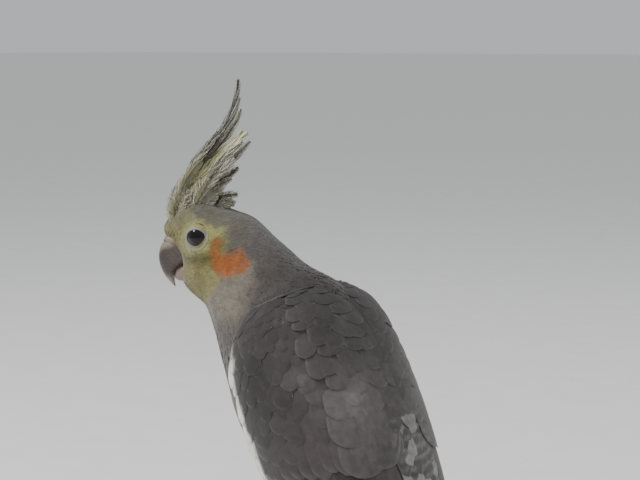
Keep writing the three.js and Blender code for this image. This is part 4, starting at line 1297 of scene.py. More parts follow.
def wing_colour(side, share, across):
    """The colour of the wing's feathers at shares of its patch."""
    kit = bpy.context.scene.cockatiel_plumage
    shape = np.broadcast(share, across).shape
    p = wing_point(side, share, across, 0).reshape(-1, 3)
    s, a = np.broadcast_to(share, shape).ravel(), np.broadcast_to(across, shape).ravel()
    colour = np.tile(np.array(kit.back), (len(p), 1))
    colour = blend_in(colour, tone(82, 78, 76), 0.7 * smooth(0.1, 0.35, s) * smooth(0.5, 0.2, a))
    colour = blend_in(colour, tone(50, 46, 45), 0.8 * smooth(0.5, 0.8, a) * smooth(0.02, 0.2, s))
    colour = blend_in(colour, tone(36, 33, 32), 0.6 * near(s, 0.16, 0.08) * near(a, 0.82, 0.14))
    colour = colour * (1 - 0.16 * smooth(0.26, 0.16, s))[:, None]
    colour = blend_in(colour, tone(92, 88, 87), 0.45 * near(s, 0.18, 0.08) * near(a, 0.48, 0.09))
    colour = blend_in(colour, tone(112, 108, 107), 0.7 * near(s, 0.27, 0.05) * near(a, 0.25, 0.1))
    colour = blend_in(colour, np.array(kit.flight), smooth(0.46, 0.6, s))
    colour = colour * (1 + 0.15 * ripple(p, 13, 14) + 0.13 * ripple(p, 6, 16))[:, None]
    white = smooth(0.955, 0.985, a + 0.012 * ripple(p, 7, 12)) * smooth(0.06, 0.12, s) * smooth(0.66, 0.5, s)
    colour = blend_in(colour, tone(224, 222, 214), white)
    bars = smooth(0.3, 0.9, np.sin(s * 163 * 2 * pi / 3.3 + 9 * a + 0.8 * ripple(p, 9, 13)))
    strip = smooth(0.115, 0.085, a) * smooth(0.31, 0.35, s) * smooth(0.62, 0.54, s)
    colour = blend_in(colour, tone(74, 71, 70), strip)
    colour = blend_in(colour, tone(150, 149, 147), strip * bars)
    primary = smooth(0.3, 0.34, a) * smooth(0.5, 0.44, a) * smooth(0.4, 0.44, s)
    colour = blend_in(colour, tone(34, 33, 33), 0.9 * primary)
    return colour.reshape(*shape, 3)


def plain_tint(side, root, tip, rng, spread=0.08, pale=0.0):
    middle = mix(np.array(root), np.array(tip), 0.75)
    base = wing_colour(side, np.array([middle[0]]), np.array([middle[1]]))[0]
    base = base + (tone(90, 86, 85) - base) * pale
    own = base * (1 + spread * rng.normal())
    even = 0.65 * smooth(0.98, 0.9, middle[1])
    # the feathers darken towards their roots: painted shade where the feathers over them overlap
    return lambda side, share, across, t, v: (
        even * own + (1 - even) * wing_colour(side, share, across)
    ) * (0.78 + 0.22 * smooth(0.0, 0.5, np.broadcast_to(t, share.shape)))[..., None]


SCAPULAR_ROWS = (  # share of the wing where a row ends, its number of feathers and their width
    (0.41, 3, 15.5),
    (0.37, 2, 17.5),
    (0.335, 3, 14.0),
    (0.295, 3, 12.0),
    (0.26, 4, 10.0),
    (0.225, 4, 9.0),
    (0.19, 5, 8.5),
    (0.155, 5, 8.0),
    (0.125, 6, 7.6),
    (0.095, 6, 7.2),
    (0.065, 6, 6.8),
    (0.04, 6, 6.4),
)


def wing_of(side):
    kit = bpy.context.scene.cockatiel_plumage
    rng = np.random.default_rng(kit.seed + 100 + side)
    flight, coverts = Leaves(), Leaves()

    def jitter(size):
        return size * rng.normal()

    def tier(leaves, count, roots, tips, width, lift, step, tilt, fringe, pale=0.0, stray=0.004, **shape):
        for k in range(count):
            q = k / max(count - 1, 1)
            root = (mix(roots[0][0], roots[1][0], q) + jitter(stray * 0.5), mix(roots[0][1], roots[1][1], q))
            tip = (
                mix(tips[0][0], tips[1][0], q) + jitter(stray),
                mix(tips[0][1], tips[1][1], q) + jitter(stray),
            )
            up = [h + step * k for h in lift]
            wing_feather(leaves, side, root, tip, width * (1 + jitter(0.03)), up, tilt,
                         plain_tint(side, root, tip, rng, pale=pale), fringe, **shape)

    tier(flight, 8, ((0.42, 0.9), (0.42, 0.5)), ((1.0, 0.8), (0.8, 0.3)), 9.5, (-3.0, -2.0), 0.26, 0.1, 0.25,
         rows=22, cols=9, widths=LONG, point=0.05)
    tier(flight, 7, ((0.4, 0.86), (0.36, 0.42)), ((0.67, 0.86), (0.75, 0.3)), 12.5, (-1.7, -0.9), 0.13, 0.12,
         0.3, rows=18, cols=9, widths=LONG, point=0.09)
    tier(flight, 4, ((0.38, 0.36), (0.36, 0.04)), ((0.73, 0.28), (0.6, 0.02)), 14, (-1.3, -0.2), 0.16, 0.1,
         0.4, rows=16, cols=11, point=0.14)
    tier(coverts, 11, ((0.28, 0.95), (0.28, 0.2)), ((0.46, 0.95), (0.51, 0.22)), 9.8, (-1.0, -0.05), 0.02, 0.1,
         0.35, rows=13, cols=9, point=0.22)
    tier(coverts, 12, ((0.2, 0.95), (0.2, 0.18)), ((0.36, 0.96), (0.4, 0.2)), 9, (-0.9, 0.05), 0.02, 0.1, 0.4,
         rows=11, cols=9, point=0.28)
    for k in range(-4, 22):
        end = 0.66 - 0.028 * k
        for q in range(3):
            a = 0.055 - 0.045 * q + jitter(0.006)
            root, tip = (end - 0.075, a), (end + jitter(0.006) - 0.013 * (q % 2), a - 0.01)
            up = (-0.8, 0.15) if end > 0.36 else (-0.5, mix(0.1, 0.7, smooth(0.06, 0.16, end)))
            wing_feather(coverts, side, root, tip, 6.6 * (1 + jitter(0.06)), up, 0.1,
                         plain_tint(side, root, tip, rng, 0.06), 0.3, rows=11, cols=9, point=0.34)

    ends = np.arange(0.335, 0.035, -0.021)
    for row, end in enumerate(ends):
        width = mix(5.6, 8.4, smooth(0.03, 0.3, end))
        room = float(wing_width(max(end, 0.02)))
        count = max(int(room / (width * 0.68)), 4)
        for k in range(count):
            a = (k + 0.5 * (row % 2) + 0.16 * rng.normal()) / (count - 0.5)
            if a > 1.02:
                continue
            length = mix(0.058, 0.09, smooth(0.03, 0.3, end)) * (1 + 0.08 * rng.normal())
            root = (max(end - length, -0.012), 0.5 + (a - 0.5) * 0.96)
            tip = (end + jitter(0.005), 0.5 + (a - 0.5) * (1.0 if a < 0.9 else 1.02) + jitter(0.008))
            wing_feather(coverts, side, root, tip, width * (1 + jitter(0.1)), (-0.6, 0.16 + jitter(0.03)),
                         jitter(0.05), plain_tint(side, root, tip, rng, 0.1), 0.2, rows=8, cols=9, point=0.36,
                         thickness=0.11)
    for k in range(26):
        end = mix(0.06, 0.5, k / 25) + jitter(0.004)
        root = (end - 0.06, 0.985)
        wing_feather(coverts, side, root, (end, 1.0 + 0.02 * sin(k * 2.4)), 5.5, (-0.9, 0.0), -0.2,
                     plain_tint(side, root, (end, 1.0), rng), 0.3, rows=8, cols=7, point=0.34)

    scapulars = Leaves()
    for row, (end, count, width) in enumerate(SCAPULAR_ROWS):
        reach = 0.34 if end > 0.2 else 0.44
        for k in range(count):
            inner = 0.16 * smooth(0.24, 0.33, end)
            a = inner + (k + 0.3 + 0.4 * (row % 2)) / count * (reach - inner) - 0.01 + jitter(0.008)
            length = 1.35 * width / 163
            root = (end - length, mix(a, 0.2, 0.2))
            tip = (end + jitter(0.005) - 0.02 * (k % 2), a + jitter(0.006))
            wing_feather(scapulars, side, root, tip, width * (1 + jitter(0.06)), (-0.35, 0.72), 0.08,
                         plain_tint(side, root, tip, rng, 0.05, 0.25), 0.5, rows=11, cols=11, point=0.38,
                         camber=0.2)
    return flight, coverts, scapulars


def wing_base(side):
    """The smooth body of a wing that its feathers cover."""
    rows, cols = 90, 40
    out = np.linspace(0, 1, cols)
    start = 0.012 + 0.13 * np.abs(2 * out - 1) ** 2.4
    share = start[None] + (0.74 - start[None]) * np.linspace(0, 1, rows)[:, None]
    across = np.broadcast_to(mix(0.035, 0.965, out), share.shape)
    height = through([(0, -3), (0.06, -1.5), (0.14, -1.0), (0.5, -1.2), (0.8, -1.6)], share)
    depth = through([(0, 8), (0.35, 9), (0.6, 6), (0.8, 2.6)], share)
    edge = np.sqrt(np.maximum(1 - (2 * out[None] - 1) ** 8, 0)) * np.ones((rows, 1))
    top = wing_point(side, share, across, height)
    bottom = wing_point(side, share, across, -depth * np.maximum(edge, 0.35))
    middle = (top + bottom) / 2
    rim = np.zeros((rows, cols), bool)
    rim[0], rim[-1], rim[:, 0], rim[:, -1] = True, True, True, True
    top = np.where(rim[..., None], middle, top)
    leaves = Leaves()
    if side < 0:
        top, bottom, share, across = top[:, ::-1], bottom[:, ::-1], share[:, ::-1], across[:, ::-1]
    # painted shade: the wing's body takes the wing's colours darkened to 0.7, as the shade under its feathers
    tint = wing_colour(side, share, across) * 0.7
    leaves.add(top, bottom, np.zeros((1, 1)), np.zeros((1, 1)), tint, 0, 10, (0.5, 0.5))
    piece = leaves.build(f"wing_base_{'left' if side > 0 else 'right'}")
    return piece


# Tail and crest

TAIL_LENGTH = 157
TAIL_PAIRS = [
    (1, (1.2, 1.8), 0.6),
    (0.93, (2.2, 4), -0.2),
    (0.83, (3.2, 6.4), -1),
    (0.73, (4, 8.6), -1.8),
    (0.63, (4.8, 10.4), -2.6),
    (0.54, (5.4, 11.8), -3.4),
]


def tail_feather(leaves, length, left, dorsal, width, tint, fringe, rows=26, cols=9, point=0.05, curl=0.0):
    time, out, t, v = leaf_grid(rows, cols, LONG, point)
    along = mix(6, -length, time)
    side = mix(left[0], left[1], time) + out * width / 2
    height = mix(dorsal[0], dorsal[1], time) + 0.35 * (1 - out**2) + 0.18 * near(out, 0, 0.09) * (1 - time)
    height = height + curl * np.sin(time * 4)
    body = vane_body(0.34, t, v)
    top, bottom = on_tail(along, side, height + body / 2), on_tail(along, side, height - body / 2)
    colour = tint(-along, out) if callable(tint) else tint
    if np.ndim(colour) == 3:
        colour = colour[:, ::-1]
    leaves.add(top[:, ::-1], bottom[:, ::-1], -v[None, ::-1], t, colour, fringe, length,
               (0.5 + left[0] * 0.03, 0.94))


def tail_piece():
    kit = bpy.context.scene.cockatiel_plumage
    rng = np.random.default_rng(kit.seed + 7)
    leaves = Leaves()
    dark, pale = np.array(kit.flight), tone(168, 162, 122)
    for k, (share, left, dorsal) in enumerate(TAIL_PAIRS):
        for side in (1, -1):
            drop = 0.4 if side < 0 else 0
            own = dark * (1.1 + 0.06 * rng.normal())

            def tint(reach, out, own=own, k=k):
                bars = 0.5 + 0.5 * np.sin(reach * 1.25 + 2.2 * out + 0.7 * np.sin(reach * 0.21 + k))
                amount = smooth(0.62, 0.9, bars) * (0.12 + 0.6 * smooth(1, 4, k)) * smooth(20, 40, reach)
                flat = own + (pale - own) * amount[..., None]
                return flat * (1 + 0.06 * np.sin(reach * 0.33 + k))[..., None]

            tail_feather(leaves, share * TAIL_LENGTH, tuple(side * x for x in left), (dorsal - drop + 0.2,) * 2,
                         11, tint, 0.2, rows=40, curl=0.15)
    for row, (length, dorsal) in enumerate(((44, 1.6), (34, 3.0), (24, 4.6), (15, 6.0))):
        for k in range(5):
            left = (k - 2 + 0.5 * (row % 2)) * 3.6
            tail_feather(leaves, length + 2 * rng.normal(), (left * 0.8, left), (dorsal + 2, dorsal * 0.6 + 0.3),
                         8.5, tone(96, 91, 88) * (1 + 0.07 * rng.normal()), 0.5, rows=12, point=0.2)
    for row, (length, dorsal) in enumerate(((52, -5.2), (42, -6.0), (32, -7.0), (20, -8.2))):
        for k in range(5):
            left = (k - 2 + 0.5 * (row % 2)) * 3.8
            tail_feather(leaves, length + 2 * rng.normal(), (left * 0.8, left), (dorsal, dorsal * 0.72), 9,
                         tone(120, 112, 104) * (1 + 0.07 * rng.normal()), 0.5, rows=12, point=0.2)
    return leaves.build("tail_feathers")


CREST = [
    ([(14, 5), (14.5, 12), (12, 16), (8, 20)], (0, 0), 5, 20, (104, 104, 82)),
    ([(13.5, 5), (14, 14), (10, 20), (4, 25)], (0.5, 0.8), 3.2, 35, (112, 112, 88)),
    ([(12.5, 8), (11, 25), (-13, 30), (-18.5, 51)], (0.6, 1.2), 3.8, 50, (74, 72, 68)),
    ([(12.5, 7), (12, 24), (-8, 29), (-17, 45)], (-0.4, -0.8), 3.0, -60, (88, 86, 78)),
    ([(12, 8), (10.5, 24), (-10, 29.5), (-16.5, 41.5)], (-1.4, -2.6), 3.4, -50, (112, 110, 96)),
    ([(11, 8), (10, 24), (-4, 30), (-10.5, 38)], (2.4, 3.4), 3.2, 60, (96, 94, 84)),
    ([(11.5, 8), (10, 22), (-2, 29), (-8, 35)], (1.0, 1.6), 2.8, 40, (120, 118, 98)),
    ([(11, 8), (10, 22), (0, 28), (-6, 33)], (-3, -4.4), 3.2, -60, (110, 107, 92)),
    ([(10, 8), (8, 22), (0, 26), (-9, 30)], (0.2, 0.2), 3.0, 30, (130, 128, 102)),
    ([(9, 9), (6, 22), (-8, 28), (-18.5, 33.8)], (1.6, 3.6), 3.4, 55, (176, 174, 128)),
    ([(8, 9), (4, 22), (-7, 27), (-16.5, 34.6)], (0.6, 1.8), 2.8, 45, (168, 166, 120)),
    ([(8, 9), (5, 21), (-6, 26), (-14.5, 31)], (-2, -4), 3.4, -55, (120, 117, 104)),
    ([(7, 9), (4, 20), (-6, 25), (-16, 31.5)], (2.6, 4.4), 2.8, 60, (136, 133, 116)),
    ([(5, 9), (1, 18), (-9, 24), (-18, 30.5)], (-0.6, -0.6), 3.4, -40, (112, 108, 104)),
    ([(5, 9), (2, 18), (-8, 22), (-15.5, 28.5)], (1.4, 2.2), 2.8, 30, (104, 100, 96)),
    ([(5, 9), (2, 16), (-6, 22), (-13, 26)], (2.8, 5), 3.4, 55, (122, 118, 108)),
    ([(3, 9), (0, 15), (-6, 20), (-11.5, 22.5)], (-3, -5), 3.6, -55, (112, 108, 100)),
    ([(3, 9), (0, 15), (-6, 19.5), (-12.5, 22)], (0.4, 0.8), 3.4, 10, (108, 104, 96)),
    ([(2, 9), (-1, 14), (-5, 18), (-10.5, 19.5)], (2.4, 3.6), 4, 45, (118, 114, 104)),
    ([(0, 9), (-2, 13), (-6, 14.5), (-10.5, 13.5)], (-1, -1.4), 4.4, 15, (112, 108, 98)),
]


CREST_BASE = [  # side views of the short feathers: the foremost, the last of the fan, and the tufts behind it
    [(12.6, 7.5), (14.2, 12), (12.4, 17.5), (9.4, 22)],
    [(0.5, 10.5), (-1, 13), (-3.6, 16.4), (-8, 19.8)],
    [(-3, 9.8), (-5, 11.8), (-7, 12.4), (-9.4, 11.2)],
]


CREST_PAINTED_LIGHT = np.array([1.35, 1.33, 1.12])  # painted light that lifts the long feathers, which lie in their own shade


def crest_piece(short):
    """The crest's long feathers, or the short ones that rise from the crown round their roots."""
    kit = bpy.context.scene.cockatiel_plumage
    rng = np.random.default_rng(kit.seed + 31 + short)
    leaves = Leaves()

    def blade(c, left, width, twist, start, base, cell, side=0, root=0.0, reach=1.0):
        """A vane along the curve, or a barb that leaves it at the share root and sweeps out to a side."""
        rows, cols = (22, 5) if side == 0 else (6, 3)
        time, out, t, v = leaf_grid(rows, cols, [(0, 0.7), (0.3, 1), (0.75, 0.6), (1, 0.12)], 0.03)
        along = np.minimum(root + time * reach, 1.03)
        p, ahead = bezier(c, along), bezier(c, along + 0.01)
        way = ahead - p
        way = unit(way[..., :1] * HEAD[0] + way[..., 2:] * HEAD[2])
        turn = radians(twist) * (0.6 + 0.4 * along[..., None])
        across = HEAD[1] * np.cos(turn) + np.cross(way, HEAD[1]) * np.sin(turn)
        normal = np.cross(way, across)
        centre = on_head(p[..., 0], mix(left[0], left[1], along), p[..., 2])
        centre = centre + across * (start * side * smooth(0, 1, time) ** 0.8 + out * width / 2)[..., None]
        lift = 0.12 * (1 - out**2) + (0.25 * rng.normal() * time if side else 0)
        body = vane_body(0.22 if side == 0 else 0.1, t, v)
        top = centre + normal * (lift + body / 2)[..., None]
        bottom = centre + normal * (lift - body / 2)[..., None]
        own = base * (1 + 0.1 * rng.normal())
        tint = own + (tone(164, 160, 126) - own) * (0.7 * smooth(0.42, 0.05, along))[..., None]
        lit = unit(HEAD[1] + 0.4 * HEAD[2])
        lie = lit * np.where(normal @ lit < 0, -1, 1)[..., None]
        leaves.add(top[:, ::-1], bottom[:, ::-1], -v[None, ::-1], t, tint[:, ::-1], 0.2, 30, cell, lie)

    def feather(c, left, width, twist, base, cell, count):
        blade(c, left, width * 0.5, twist, 0, base, cell)
        steps = np.linspace(0, 1, count)
        spread = through([(0, 0.9), (0.3, 1), (0.6, 0.9), (0.85, 0.5), (1, 0.1)], steps)
        for k, root in enumerate(mix(0.02, 0.96, steps)):
            for side in (1, -1):
                out = width * 0.5 * spread[k] * (1 + 0.14 * rng.normal())
                blade(c, left, 0.5, twist, out, base, cell, side, root + 0.01 * rng.normal(), 0.3 - 0.15 * root)

    if short:
        for k in range(104):
            q = (k + 0.5) / 88
            curve = mix(*np.array(CREST_BASE[:2], float), q) if q < 1 else np.array(CREST_BASE[2], float)
            curve = curve[0] + (curve - curve[0]) * rng.uniform(0.55, 1.05) + 0.35 * rng.normal(size=2)
            side = rng.uniform(-4.4, 4.4)
            curve[:, 1] -= 0.05 * side**2
            # these pale tones are partly painted light, lifting the short feathers out of the shade under the
            # long crest
            base = mix(tone(152, 148, 112), tone(158, 154, 134), min(q, 1)) * rng.uniform(0.88, 1.08)
            width = rng.uniform(3.2, 4.6) if q < 1 else 2.2
            twist = rng.choice((-1, 1)) * rng.uniform(55, 95)
            feather(np.array([(x, 0, z) for x, z in curve]), (side, side * 0.8), width, twist, base,
                    (0.5 + side * 0.02, 0.1), 16)
    else:
        curves = list(CREST)
        for _ in range(36):
            one, other = rng.choice(len(CREST), 2, replace=False)
            share, t = rng.random(), rng.uniform(0.35, 0.75)
            curve = mix(np.array(CREST[one][0], float), np.array(CREST[other][0], float), share)
            root = curve[0] + [rng.uniform(-3, 1), 0]
            ease, middle = mix(curve[0], curve[1], t), mix(curve[1], curve[2], t)
            curve = [root, ease, mix(ease, middle, t), bezier(curve, t)]
            left = tuple(rng.uniform(-4, 4) * np.array([0.6, 1]))
            colour = tuple(rng.uniform(0.9, 1.1) * np.array([134, 130, 106]))
            curves.append((curve, left, rng.uniform(3.2, 4.6), rng.choice((-1, 1)) * rng.uniform(20, 80), colour))
        for curve, left, width, twist, colour in curves:
            twist = np.sign(twist) * (45 + 0.6 * abs(twist))
            quill_line = np.array([(x, 0, z) for x, z in curve])
            feather(quill_line, left, width, twist, tone(*colour) * CREST_PAINTED_LIGHT,
                    (0.5 + left[0] * 0.02, 0.1 + 0.002 * curve[0][0]), 30)
    return leaves.build("crest_base" if short else "crest")


# Feet, perch and stand

PERCH_HEIGHT, PERCH_RADIUS, PERCH_LENGTH = 148, 6.5, 112
FOOT_SIDE, TOE_RADIUS, CLAW_REACH, CLAW_LIFT = 12, 1.75, 34, 1.2
TOE_LINE = PERCH_RADIUS + 0.3 + TOE_RADIUS
TOES = [
    ("front_inner", -1, -3.4, 84),
    ("front_outer", -1, 3.6, 104),
    ("back_inner", 1, -3, 70),
    ("back_outer", 1, 3.6, 92),
]
TARSUS = [  # forward, out, height and radius down the shank
    (4.4, 12, 167, 2.4),
    (4.2, 12, 165.6, 2.3),
    (2.4, 12, 161.6, 2.2),
    (0.6, 12, 158.2, 2.5),
    (0, 12, 156.8, 2.4),
]


def round_perch(side, way, spread, degrees, radius):
    angle = np.radians(degrees)
    out = spread * np.minimum(degrees / 60, 1)
    return np.stack(
        [way * np.sin(angle) * radius, -side * (FOOT_SIDE + out), PERCH_HEIGHT + np.cos(angle) * radius], -1
    )


def foot_piece(side):
    points, faces, total = [], [], 0
    t = np.linspace(0, 1, 60)
    stops = np.array(TARSUS)
    run = np.stack([through(np.stack([np.linspace(0, 1, 5), stops[:, k]], -1), t) for k in range(4)], -1)
    path = np.stack([run[:, 0], -side * run[:, 1], run[:, 2]], -1)
    limbs = [(path, run[:, 3] * (1 + 0.03 * np.abs(np.sin(t * 26))))]
    for _, way, spread, reach in TOES:
        turn = np.linspace(-6, reach, 90)
        t = (turn + 6) / (reach + 6)
        swell = through(list(zip(np.linspace(0, 1, 6), (0.85, 1, 0.9, 1, 0.92, 0.66))), t)
        scutes = 1 + 0.045 * np.abs(np.sin(t * pi * 13))
        limbs.append((round_perch(side, way, spread, turn, TOE_LINE), swell * scutes * TOE_RADIUS))
    for path, radius in limbs:
        rings = tube_rings(path, radius, vec(0, 1, 0), 28)
        p, f = rings_mesh(rings, path[0], path[-1])
        points.append(p)
        faces += [tuple(i + total for i in face) for face in f]
        total += len(p)
    points = np.vstack(points)
    mesh = mesh_of(f"foot_skin_{'left' if side > 0 else 'right'}", points, faces)
    shade = np.tile(tone(146, 130, 122), (len(points), 1))
    shade = blend_in(shade, tone(112, 98, 92), 0.5 + 0.5 * ripple(points, 3, 17))
    put(mesh, "tint", "FLOAT_COLOR", shade)
    return link(mesh.name, mesh)


def claw_piece(side):
    points, faces, total = [], [], 0
    for _, way, spread, reach in TOES:
        t = np.linspace(0, 1, 40)
        along = reach - 2 + (CLAW_REACH + 5.4) * t
        path = round_perch(side, way, spread, along, TOE_LINE + CLAW_LIFT * t * t)
        radius = through([(0, 1.05), (0.15, 1.1), (0.45, 0.85), (0.8, 0.42), (1, 0.1)], t)
        rings = tube_rings(path, radius, vec(0, 1, 0), 20)
        p, f = rings_mesh(rings, path[0], path[-1])
        points.append(p)
        faces += [tuple(i + total for i in face) for face in f]
        total += len(p)
    points = np.vstack(points)
    mesh = mesh_of(f"claws_{'left' if side > 0 else 'right'}", points, faces)
    put(mesh, "tint", "FLOAT_COLOR", np.tile(tone(52, 45, 42), (len(points), 1)))
    return link(mesh.name, mesh)


def lathe(name, outline, sides, axes, centre):
    """A solid of revolution. outline gives radius and height along the first of the axes."""
    outline = np.array(outline, float)
    angle = np.linspace(0, 2 * pi, sides, endpoint=False)
    ring = np.cos(angle)[:, None] * axes[1] + np.sin(angle)[:, None] * axes[2]
    rings = centre + outline[1:-1, :1, None] * ring[None] + outline[1:-1, 1:, None] * axes[0]
    points, faces = rings_mesh(rings, centre + axes[0] * outline[0, 1], centre + axes[0] * outline[-1, 1])
    mesh = mesh_of(name, points, faces)
    put(mesh, "tint", "FLOAT_COLOR", np.ones((len(points), 3)))
    return link(name, mesh)


def rounded(radius, low, high, bevel):
    """The outline of a disc or rod whose two rims are rounded."""
    turn = np.linspace(0, pi / 2, 9)
    foot = [(radius - bevel + bevel * sin(a), low + bevel - bevel * cos(a)) for a in turn]
    top = [(radius - bevel + bevel * cos(a), high - bevel + bevel * sin(a)) for a in turn]
    inner = (radius - bevel) * 0.98
    return [(0, low), (inner, low), *foot, *top, (inner, high), (0, high)]


# Operators


def both_sides():
    return (("left", 1), ("right", -1))


class BuildSkin(bpy.types.Operator):
    """Builds the skin of the head, neck, body and thighs"""

    bl_idname = "cockatiel.skin"
    bl_label = "Skin"

    def execute(self, context):
        rings, first, last = skin_rings(SKIN_DEPTH)
        points, faces = rings_mesh(rings, first, last)
        mesh = mesh_of("skin", points, faces)
        unwrap_rings(mesh, *rings.shape[:2])
        # painted shade: the skin takes the plumage's colours darkened to 0.9, as the shade between the feathers
        put(mesh, "tint", "FLOAT_COLOR", np.clip(plumage(points) * 0.9, 0, 1))
        material = tinted_material("skin", 0.8, 1400, 0.4, 0.0002, spread=0.16, Sheen_Weight=0.2)
        dress(link("skin", mesh), material, "plumage_body", "head", "neck", "torso")
        for name, side in both_sides():
            rings, _ = thigh_rings(side, SKIN_DEPTH)
            points, faces = rings_mesh(rings)
            mesh = mesh_of(f"thigh_{name}", points, faces)
            unwrap_rings(mesh, *rings.shape[:2])
            # painted shade: the thigh's skin takes the plumage's colours darkened to 0.9, as the shade between
            # the feathers
            put(mesh, "tint", "FLOAT_COLOR", np.clip(plumage(points) * 0.9, 0, 1))
            dress(link(mesh.name, mesh), material, "plumage_body", f"leg_{name}")
        return {"FINISHED"}


class BuildCoat(bpy.types.Operator):
    """Sets the small feathers of the head, neck, body and thighs on the skin"""

    bl_idname = "cockatiel.coat"
    bl_label = "Small feathers"

    def execute(self, context):
        skin_piece = bpy.data.objects.get("skin")
        if skin_piece is None:
            raise RuntimeError("build the skin first")
        legs = [(side, bpy.data.objects[f"thigh_{name}"]) for name, side in both_sides()]
        coat_of_body(skin_piece, legs)
        return {"FINISHED"}


class BuildWings(bpy.types.Operator):
    """Builds the wings: flight feathers, coverts and scapulars over their smooth bodies"""

    bl_idname = "cockatiel.wings"
    bl_label = "Wings"

    def execute(self, context):
        material = feather_material("wing_feathers", 2.2, 0.12, tuple(tone(92, 88, 87)), 0.7, 0.00006)
        under = tinted_material("wing_skin", 0.8, 900, 0.4, 0.0002)
        for name, side in both_sides():
            dress(wing_base(side), under, "plumage_wing", f"wing_{name}")
            for label, leaves in zip(("flight", "coverts", "scapulars"), wing_of(side)):
                dress(leaves.build(f"wing_{label}_{name}"), material, "plumage_wing")
        return {"FINISHED"}


class BuildTail(bpy.types.Operator):
    """Builds the tail and the coverts over its root"""

    bl_idname = "cockatiel.tail"
    bl_label = "Tail"

    def execute(self, context):
        material = feather_material("tail_feathers", 2.2, 0.3, tuple(tone(124, 118, 112)), 0.66, 0.0001)
        dress(tail_piece(), material, "plumage_tail", "tail")
        return {"FINISHED"}


class BuildCrest(bpy.types.Operator):
    """Builds the long feathers of the crest"""

    bl_idname = "cockatiel.crest"
    bl_label = "Crest"

    def execute(self, context):
        material = feather_material("crest_feathers", 2.6, 0.0, tuple(tone(150, 148, 128)), 0.7, 0.00004,
                                    Subsurface_Weight=0.6, Subsurface_Scale=0.0012)
        material.node_tree.nodes["Principled BSDF"].inputs["Subsurface Radius"].default_value = (1, 0.9, 0.8)
        for short in (False, True):
            dress(crest_piece(short), material, "plumage_head")
        return {"FINISHED"}


class BuildEyes(bpy.types.Operator):
    """Builds the eyeballs and the bare rings round them"""

    bl_idname = "cockatiel.eyes"
    bl_label = "Eyes"

    def execute(self, context):
        ball = eye_material()
        bare = tinted_material("bare_skin", 0.55, 2600, 0.5, 0.00012, spread=0.12, Subsurface_Weight=0.05)
        for name, side in both_sides():
            dress(eyeball(side), ball, "eye", f"eye_{name}")
            dress(lid_ring(side), bare, "plumage_head")
        return {"FINISHED"}


class BuildBill(bpy.types.Operator):
    """Builds the two halves of the bill and the cere with its nostrils"""

    bl_idname = "cockatiel.bill"
    bl_label = "Bill"

    def execute(self, context):
        horn = tinted_material("horn", 0.42, 500, 0.25, 0.00012, (1, 1, 3), 0.14,
                               Coat_Weight=0.12, Coat_Roughness=0.4)
        flesh_like = tinted_material("cere_skin", 0.6, 1500, 0.5, 0.00016, spread=0.12)
        upper = mandible("bill_upper", CULMEN, UPPER_EDGE, UPPER_HALF_WIDTHS, 0.8, False)
        dress(upper, horn, "bill", "beak_upper")
        lower = mandible("bill_lower", LOWER_RIM, LOWER_KEEL, LOWER_HALF_WIDTHS, 0.7, True)
        dress(lower, horn, "bill", "beak_lower")
        dress(cere_piece(), flesh_like, "plumage_head")
        return {"FINISHED"}


class BuildFeet(bpy.types.Operator):
    """Builds the feet and the claws"""

    bl_idname = "cockatiel.feet"
    bl_label = "Feet"

    def execute(self, context):
        scaly = tinted_material("foot_skin", 0.6, 1100, 0.6, 0.0002, spread=0.16)
        horn = tinted_material("claw_horn", 0.38, 700, 0.2, 0.0001, spread=0.12, Coat_Weight=0.15)
        for name, side in both_sides():
            dress(foot_piece(side), scaly, "feet", f"foot_{name}")
            dress(claw_piece(side), horn, "claw", *(f"claw_{name}_{toe[0]}" for toe in TOES))
        return {"FINISHED"}


class BuildStand(bpy.types.Operator):
    """Builds the perch, the stand's base and its two rods"""

    bl_idname = "cockatiel.stand"
    bl_label = "Perch and stand"

    def execute(self, context):
        s = Shades("white_plastic")
        scuffs = s.noise(160, 8, (1, 0.25, 1))
        colour = s.mix(s.ramp(scuffs, 0.42, 0.66), tuple(tone(226, 225, 220)), tuple(tone(212, 210, 203)))
        plastic = s.finish(colour, s.ramp(scuffs, 0.3, 0.7, 0.36, 0.5), s.bump(scuffs, 0.15, 0.0002))
        s = Shades("pale_paint")
        grain = s.noise(700, 6)
        colour = s.mix(s.ramp(grain, 0.35, 0.65), tuple(tone(208, 207, 203)), tuple(tone(216, 215, 212)))
        paint = s.finish(colour, 0.5, s.bump(grain, 0.12, 0.0001))
        s = Shades("brushed_rod")
        brush = s.noise(900, 4, (1, 1, 0.02))
        colour = s.mix(s.ramp(brush, 0.35, 0.65), tuple(tone(176, 176, 174)), tuple(tone(196, 196, 194)))
        rough = s.ramp(brush, 0.3, 0.7, 0.26, 0.4)
        metal = s.finish(colour, rough, s.bump(brush, 0.1, 0.00005), Metallic=0.85)
        along_y = (vec(0, 1, 0), vec(0, 0, 1), vec(1, 0, 0))
        upright = (vec(0, 0, 1), vec(1, 0, 0), vec(0, 1, 0))
        half = PERCH_LENGTH / 2
        outline = rounded(PERCH_RADIUS, -half, half, 0.9)
        perch = lathe("perch_bar", outline, 96, along_y, vec(0, 0, PERCH_HEIGHT))
        dress(perch, plastic, "perch", "perch")
        base = lathe("stand_disc", rounded(60, 0, 7, 1.5), 160, upright, vec(0, 0, 0))
        dress(base, paint, "stand", "stand_base")
        for name, side in both_sides():
            rod = lathe(f"rod_{name}", rounded(3, 7.0, 142.6, 0.4), 48, upright, vec(0, -side * 44, 0))
            dress(rod, metal, "stand_rod", f"stand_rod_{name}")
        return {"FINISHED"}


